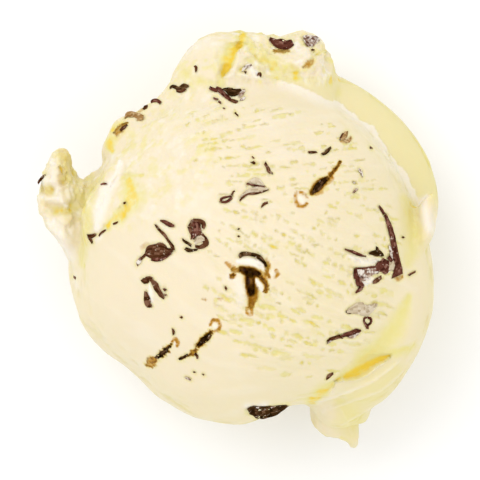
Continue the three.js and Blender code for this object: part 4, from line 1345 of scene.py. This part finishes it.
def stored(tree, name):
    """A node that reads one of the mesh's own attributes."""
    node = tree.nodes.new("ShaderNodeAttribute")
    node.attribute_name = name
    return node


def mixed(tree, share, first, second):
    """A colour between two others."""
    node = tree.nodes.new("ShaderNodeMix")
    node.data_type = "RGBA"
    for number, value in ((0, share), (6, first), (7, second)):
        put(tree, node.inputs[number], value)
    return node.outputs[2]


def maths(tree, operation, *values):
    """The result of a sum, kept from 0 to 1."""
    node = tree.nodes.new("ShaderNodeMath")
    node.operation = operation
    node.use_clamp = True
    for socket, value in zip(node.inputs, values):
        put(tree, socket, value)
    return node.outputs[0]


def ramp(tree, value, *stops):
    """A colour ramp through (place, colour) stops."""
    node = add(tree, "ShaderNodeValToRGB", Fac=value)
    elements = node.color_ramp.elements
    while len(elements) > 1:
        elements.remove(elements[-1])
    for n, (place, colour) in enumerate(stops):
        element = elements[0] if n == 0 else elements.new(place)
        element.position = place
        element.color = (*colour, 1)
    return node.outputs["Color"]


def grain_group():
    """Fine frozen grain: a height for the bump and a patchy mask, shared by cream and chocolate."""
    group = bpy.data.node_groups.get("frozen grain")
    if group:
        return group
    group = bpy.data.node_groups.new("frozen grain", "ShaderNodeTree")
    group.interface.new_socket("Place", in_out="INPUT", socket_type="NodeSocketVector")
    group.interface.new_socket("Height", in_out="OUTPUT", socket_type="NodeSocketFloat")
    group.interface.new_socket("Patches", in_out="OUTPUT", socket_type="NodeSocketFloat")
    place = group.nodes.new("NodeGroupInput").outputs["Place"]
    fine = add(group, "ShaderNodeTexNoise", Vector=place, Scale=2600.0, Detail=3.0, Roughness=0.6)
    patch = add(group, "ShaderNodeTexNoise", Vector=place, Scale=420.0, Detail=2.0, Roughness=0.5)
    feed(group, group.nodes.new("NodeGroupOutput"), Height=fine.outputs["Fac"], Patches=patch.outputs["Fac"])
    return group


def grain(tree, place):
    """The heights and patches of the frozen grain."""
    node = tree.nodes.new("ShaderNodeGroup")
    node.node_tree = grain_group()
    tree.links.new(place, node.inputs["Place"])
    return node.outputs["Height"], node.outputs["Patches"]


def cream_material(colours):
    """Pale frozen cream, deeper in its hollows and where shade is painted, whiter where it is frosted, brown
    where chocolate melted and as painted shade on the ear.
    """
    material, tree, shader = new_material("ice cream")
    place = tree.nodes.new("ShaderNodeTexCoord").outputs["Object"]
    height, patches = grain(tree, place)
    tints = add(tree, "ShaderNodeSeparateColor", Color=stored(tree, "tints").outputs["Color"])
    yellow, frost, brown = (tints.outputs[name] for name in ("Red", "Green", "Blue"))
    mottled = maths(tree, "MULTIPLY_ADD", patches, 0.16, -0.05)
    colour = mixed(tree, mottled, colours.cream, colours.hollow)
    # the yellow share carries the cream's yellow creases and pits, and also painted shade in hollows, on
    # steep sides, to the right and past the rim
    colour = mixed(tree, maths(tree, "MULTIPLY", yellow, 1.5), colour, colours.hollow)
    colour = mixed(tree, maths(tree, "MULTIPLY_ADD", yellow, 3.2, -2.2), colour, colours.deep)
    colour = mixed(tree, frost, colour, colours.frost)
    # the low, orange end of this ramp also paints the shade on the ear
    stain = ramp(tree, brown, (0.0, colours.orange), (0.45, colours.orange), (0.8, colours.stain),
                 (1.0, colours.chocolate))
    colour = mixed(tree, maths(tree, "MULTIPLY", brown, 2.2), colour, stain)
    gloss = maths(tree, "MULTIPLY_ADD", patches, 0.25, 0.34)
    bump = add(tree, "ShaderNodeBump", Height=height, Strength=0.35, Distance=0.00012)
    feed(tree, shader, Base_Color=colour, Roughness=gloss, Normal=bump.outputs["Normal"],
         Subsurface_Weight=0.25, Subsurface_Radius=(1.0, 0.75, 0.35), Subsurface_Scale=0.0012,
         IOR=1.36, Specular_IOR_Level=0.4)
    return material


def chocolate_material(name, tones, bloom, begins, full):
    """Broken chocolate: each facet its own tone and light streaks along the flake, the paler ones painted
    highlights in place of a reflection, and frost on part of it.
    """
    material, tree, shader = new_material(name)
    dark, middle, pale = tones
    place = tree.nodes.new("ShaderNodeTexCoord").outputs["Object"]
    patches = grain(tree, place)[1]
    streaks = add(tree, "ShaderNodeTexNoise", Vector=stored(tree, "lay").outputs["Vector"],
                  Scale=1.0, Detail=2.5, Roughness=0.6).outputs["Fac"]
    both = mixed(tree, 0.5, streaks, stored(tree, "facet").outputs["Fac"])
    # painted highlight: the pale end of the ramp lights some facets and streaks, since the shader reflects
    # nothing
    tone = ramp(tree, both, (0.30, dark), (0.48, middle), (0.60, middle), (0.72, pale))
    spots = add(tree, "ShaderNodeTexNoise", Vector=place, Scale=1100.0, Detail=3.0, Roughness=0.65)
    mask = ramp(tree, spots.outputs["Fac"], (begins, (0, 0, 0)), (full, (1, 1, 1)))
    bump = add(tree, "ShaderNodeBump", Height=streaks, Strength=0.5, Distance=0.0003)
    feed(tree, shader, Base_Color=mixed(tree, mask, tone, bloom), Normal=bump.outputs["Normal"],
         Roughness=maths(tree, "MULTIPLY_ADD", patches, 0.4, 0.25), Specular_IOR_Level=0.0)
    return material


# ------------------------------------------------------------------ chocolate

COLUMN = 0.28  # mm of a flake's length between its cross lines
ROW = 0.4  # mm of its width between its long lines
FACET = 0.7  # mm between the corners of its broken outline, and the length of a facet
LAST_BITE = 0.3  # mm that a flake may stand off the range of the skin under it
LEAST_LIFT = 0.08  # mm that a flake's top always stands over the skin
FLOOR_GAP = 0.002  # m over the floor under which nothing is laid
ABOVE = np.array((0.0, 0.0, 1.0))


def flake_outline(stops, u, v, length, seed):
    """Flat places of a strip with a broken edge: u from 0 to 1 along its stops, v from -1 to 1 across."""
    here = along(stops, u)
    way = heading(stops, u, 0.02, 2)
    side = np.stack([-way[:, 1], way[:, 0]], axis=1)
    half = np.maximum(here[:, 2], 0.10) + 0.02
    step = u * length / FACET
    knot, past = np.floor(step), step % 1
    edge = np.sign(v) + 3
    torn = (1 - past) * corner_value(knot, edge, 1, seed) + past * corner_value(knot + 1, edge, 1, seed) - 0.5
    torn = torn * (0.07 + 0.50 * np.minimum(half, 0.55)) * np.abs(v) * min(1.0, 4.0 / length)
    slant = 1.8 * (corner_value([1, 2], 0, 3, seed) - 0.5)
    lean = v * half * (slant[0] * (1 - u) ** 3 + slant[1] * u**3)
    return here[:, :2] + side * (v * half + np.sign(v) * torn)[:, None] + way * lean[:, None]


def flake_levels(spot, level, found):
    """Levels for a flake: halfway from the skin to a flat sheet fitted to it, and never under the skin."""
    terms = np.column_stack([spot, np.ones(len(spot))])
    sheet, *_ = np.linalg.lstsq(terms[found], level[found], rcond=None)
    flat_level = np.clip(terms @ sheet, level[found].min() - LAST_BITE, level[found].max() + LAST_BITE)
    return np.where(found, np.maximum(0.5 * (level + flat_level), level), flat_level)


def shaving(bm, stops, cast, seed, rise, depth):
    """One broken flake: a strip along the stops with an angular outline, laid on the skin and let into it."""
    stops = np.array(stops, dtype=float)
    length = np.linalg.norm(np.diff(stops[:, :2], axis=0), axis=1).sum()
    wide = stops[:, 2].max()
    columns = int(np.clip(round(length / COLUMN), 3, 44))
    across = int(np.clip(round(2 * wide / ROW), 2, 7))
    lay = bm.verts.layers.float_vector.get("lay") or bm.verts.layers.float_vector.new("lay")
    facet = bm.faces.layers.float.get("facet") or bm.faces.layers.float.new("facet")
    verts = bmesh.ops.create_grid(bm, x_segments=columns, y_segments=across, size=1.0)["verts"]
    place = np.array([v.co for v in verts])
    u, v = (place[:, 0] + 1) / 2, place[:, 1]
    for face in {f for vert in verts for f in vert.link_faces}:
        middle = face.calc_center_median()
        column, row = int((middle.x + 1) / 2 * length / FACET), int((middle.y + 1) / 2 * across)
        face[facet] = corner_value([column], row, 7, seed)[0]
    spot = flake_outline(stops, u, v, length, seed)
    hits = [cast(x, y) for x, y in spot]
    found = np.array([h is not None for h in hits])
    if found.sum() < 3:
        bmesh.ops.delete(bm, geom=verts, context="VERTS")
        return
    on = np.array([h if h is not None else (0, 0, 0) for h in hits], dtype=float)
    top = flake_levels(spot, on @ cast.out, found)
    row = np.rint((v + 1) / 2 * across)
    step = np.floor(u * length / FACET * 0.8)
    lift = rise * (0.7 + 0.6 * (1 - np.abs(v) ** 1.5))
    lift += min(0.4, 0.4 * wide) * (corner_value(step, row, 4, seed) - 0.4) * (1 - np.abs(v) ** 3)
    lift = np.maximum(lift, LEAST_LIFT)
    middle = on[found].mean(axis=0)
    for n, vert in enumerate(verts):  # the streaks read lay: long along the flake and fine across it
        base = on[n] if found[n] else middle + cast.across(spot[n]) - cast.across(spot[found].mean(axis=0))
        vert.co = base + cast.out * (top[n] - base @ cast.out + lift[n])
        vert[lay] = (u[n] * length * 0.9 + seed, v[n] * wide * 4.2, seed * 0.7)
    faces = list({f for vert in verts for f in vert.link_faces})
    grown = bmesh.ops.extrude_face_region(bm, geom=faces)
    lower = [g for g in grown["geom"] if isinstance(g, bmesh.types.BMVert)]
    bmesh.ops.translate(bm, verts=lower, vec=Vector(cast.out) * -depth)


class FromAbove:
    """Finds the skin under a place of the picture."""

    def __init__(self, tree, height):
        self.tree = tree
        self.out = ABOVE
        self.eye = Vector((PICTURE_MIDDLE[0] + CENTRING[0], PICTURE_MIDDLE[1] + CENTRING[1], height))

    def __call__(self, x, y):
        aim = Vector((x + CENTRING[0], y + CENTRING[1], WAIST)) - self.eye
        hit = self.tree.ray_cast(self.eye * MM, aim.normalized(), 1.0)[0]
        return None if hit is None or hit.z < FLOOR_GAP else np.array(hit) / MM

    def across(self, spot):
        """The place of a flat spot, from the middle."""
        return np.array((spot[0], spot[1], 0.0))


class FromSide:
    """Finds the skin along level rays towards the upright axis, round one place."""

    def __init__(self, tree, bearing, height):
        self.tree = tree
        c, s = math.cos(bearing), math.sin(bearing)
        self.out = np.array((c, s, 0.0))
        self.right = np.array((-s, c, 0.0))
        self.middle = np.array((*CENTRING, height))

    def __call__(self, x, y):
        start = self.middle + self.out * FAR + self.across((x, y))
        hit = self.tree.ray_cast(Vector(start) * MM, Vector(-self.out), FAR * MM)[0]
        return None if hit is None else np.array(hit) / MM

    def across(self, spot):
        """The place of a flat spot, from the middle."""
        return self.right * spot[0] + ABOVE * spot[1]

    def covered(self):
        """Whether the place is steep and lies well under something, so that it doesn't show from above."""
        start = Vector(self.middle + self.out * FAR) * MM
        on, facing = self.tree.ray_cast(start, Vector(-self.out), FAR * MM)[:2]
        over = on + Vector(self.out) * 0.0012 + Vector((0, 0, 0.05))
        above = self.tree.ray_cast(over, Vector((0, 0, -1)), 0.1)[0]
        return facing.z <= 0.1 and above is not None and above.z >= on.z + 0.002


def side_flakes(bm, tree, kind):
    """Flakes on the sides and back, spread evenly round and up."""
    for i in range(SIDE_FLAKES):
        bend, length, width, turn, is_dark = (corner_value(i, what, 0, 5)[0] for what in (4, 1, 2, 3, 5))
        if (is_dark < SHARE_DARK) != (kind == "dark"):
            continue
        height = LOWEST_FLAKE + (HIGHEST_FLAKE - LOWEST_FLAKE) * (i + 0.5) / SIDE_FLAKES
        cast = FromSide(tree, math.radians(SIDE_TURN * i), height)
        if not cast.covered():
            continue
        length = 2.2 + 3.6 * length**2
        width = 0.8 + 1.2 * width
        turn = math.radians(180 * turn)
        bend = 0.25 * (bend - 0.5) * length
        stops = []
        for t, w in SIDE_PROFILE:
            a, b = t * length, bend * (1 - 4 * t * t)
            x, y = a * math.cos(turn) - b * math.sin(turn), a * math.sin(turn) + b * math.cos(turn)
            stops.append((x, y, w * width / 2))
        shaving(bm, stops, cast, SIDE_SEED + i, rise=0.22, depth=0.9)


def chocolate_piece(kind, tree, colours, camera_height):
    """All flakes of one kind, joined into one piece that lies in the ice cream."""
    name = kind["piece"]
    bm = bmesh.new()
    above = FromAbove(tree, camera_height / MM)
    for n, stops in enumerate(kind["flakes"]):
        shaving(bm, stops, above, n + len(name) * 31, kind["rise"], kind["depth"])  # a seed of its own
    if kind["sides"]:
        side_flakes(bm, tree, kind["sides"])
    bmesh.ops.scale(bm, verts=bm.verts, vec=(MM, MM, MM))
    bmesh.ops.recalc_face_normals(bm, faces=bm.faces)
    bmesh.ops.triangulate(bm, faces=bm.faces)
    obj = make_object(name, bm)
    dark, middle, pale = kind["tones"]
    tones = (dark or tuple(colours.chocolate), middle, pale)
    obj.data.materials.append(
        chocolate_material(kind["material"], tones, kind["bloom"], kind["begins"], kind["full"]))
    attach(obj, "root")


# ------------------------------------------------------------------ operators


class SCOOP_OT_ice_cream(bpy.types.Operator):
    """Make the ice cream: the fused masses with their creases, pits and colours"""

    bl_idname = "scoop.ice_cream"
    bl_label = "Ice cream"

    def execute(self, context):
        scene = context.scene
        obj = raw_body(scene.scoop_sizes, scene.scoop_stage.camera_height)
        tints = sculpt(obj.data, scene.scoop_sizes, scene.scoop_stage.camera_height)
        paint(obj.data, "tints", tints)
        obj.data.shade_smooth()
        obj.data.materials.append(cream_material(scene.scoop_colours))
        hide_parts("scoop")
        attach(obj, "root")
        return {"FINISHED"}


class SCOOP_OT_chocolate(bpy.types.Operator):
    """Lay the chocolate flakes, shavings and crumbs into the ice cream"""

    bl_idname = "scoop.chocolate"
    bl_label = "Chocolate"

    def execute(self, context):
        scene = context.scene
        bm = bmesh.new()
        bm.from_mesh(bpy.data.objects["ice_cream"].data)
        tree = BVHTree.FromBMesh(bm)
        bm.free()
        for kind in KINDS:
            chocolate_piece(kind, tree, scene.scoop_colours, scene.scoop_stage.camera_height)
        return {"FINISHED"}


def soft_light(name, at, size, power):
    """A square lamp that faces the middle of the scoop."""
    light = bpy.data.lights.new(name, "AREA")
    light.shape = "SQUARE"
    light.size = size
    light.energy = power
    lamp = bpy.data.objects.new(name, light)
    lamp.location = at
    aim = Vector((0, 0, 0.03)) - lamp.location
    lamp.rotation_euler = aim.to_track_quat("-Z", "Y").to_euler()
    bpy.context.scene.collection.objects.link(lamp)


SENSOR_WIDTH = 36.0  # mm
ROOM_LIGHT = 1.02  # strength of the even light from all sides
FILL_SHARE = 0.45  # of the key light's power


class SCOOP_OT_stage(bpy.types.Operator):
    """Set up the floor, the soft light and the camera"""

    bl_idname = "scoop.stage"
    bl_label = "Stage"

    def execute(self, context):
        scene = context.scene
        stage = scene.scoop_stage
        bm = bmesh.new()
        bmesh.ops.create_grid(bm, x_segments=1, y_segments=1, size=3.0)
        floor = make_object("floor", bm)
        material, tree, shader = new_material("floor")
        feed(tree, shader, Base_Color=stage.floor, Roughness=0.9, Specular_IOR_Level=0.1)
        floor.data.materials.append(material)

        world = bpy.data.worlds.new("soft room")
        world.use_nodes = True
        feed(world.node_tree, world.node_tree.nodes["Background"], Color=(1.0, 1.0, 1.0), Strength=ROOM_LIGHT)
        scene.world = world
        soft_light("key", at=(-0.36, 0.36, 0.85), size=0.55, power=stage.key_power)
        soft_light("fill", at=(0.40, -0.35, 0.9), size=0.9, power=stage.key_power * FILL_SHARE)

        camera_data = bpy.data.cameras.new("camera")
        camera = bpy.data.objects.new("camera", camera_data)
        middle = np.array(PICTURE_MIDDLE) + np.array(CENTRING)
        camera.location = (*(middle * MM), stage.camera_height)
        camera.rotation_euler = (0, 0, 0)
        camera_data.sensor_width = SENSOR_WIDTH
        camera_data.lens = SENSOR_WIDTH * (stage.camera_height - WAIST * MM) / stage.seen_width
        camera_data.clip_start = 0.01
        scene.collection.objects.link(camera)
        scene.camera = camera
        scene.view_settings.view_transform = "Standard"
        scene.view_settings.look = "None"
        return {"FINISHED"}


class SCOOP_PT_panel(bpy.types.Panel):
    """Sizes, colours and steps of the scoop"""

    bl_idname = "SCOOP_PT_panel"
    bl_label = "Ice cream scoop"
    bl_space_type = "VIEW_3D"
    bl_region_type = "UI"
    bl_category = "Ice cream"

    def draw(self, context):
        scene = context.scene
        for settings in (scene.scoop_sizes, scene.scoop_colours, scene.scoop_stage):
            box = self.layout.box()
            for name in settings.bl_rna.properties.keys():
                if name not in {"rna_type", "name"}:
                    box.prop(settings, name)
        for step in STEPS:
            self.layout.operator(step.bl_idname)


STEPS = (SCOOP_OT_ice_cream, SCOOP_OT_chocolate, SCOOP_OT_stage)
CLASSES = (ScoopSizes, ScoopColours, StageSettings, *STEPS, SCOOP_PT_panel)


def register():
    for cls in CLASSES:
        bpy.utils.register_class(cls)
    bpy.types.Scene.scoop_sizes = bpy.props.PointerProperty(type=ScoopSizes)
    bpy.types.Scene.scoop_colours = bpy.props.PointerProperty(type=ScoopColours)
    bpy.types.Scene.scoop_stage = bpy.props.PointerProperty(type=StageSettings)


def unregister():
    del bpy.types.Scene.scoop_stage
    del bpy.types.Scene.scoop_colours
    del bpy.types.Scene.scoop_sizes
    for cls in reversed(CLASSES):
        bpy.utils.unregister_class(cls)


def main():
    register()
    bpy.ops.scoop.ice_cream()
    bpy.ops.scoop.chocolate()
    bpy.ops.scoop.stage()


if __name__ == "__main__":
    main()
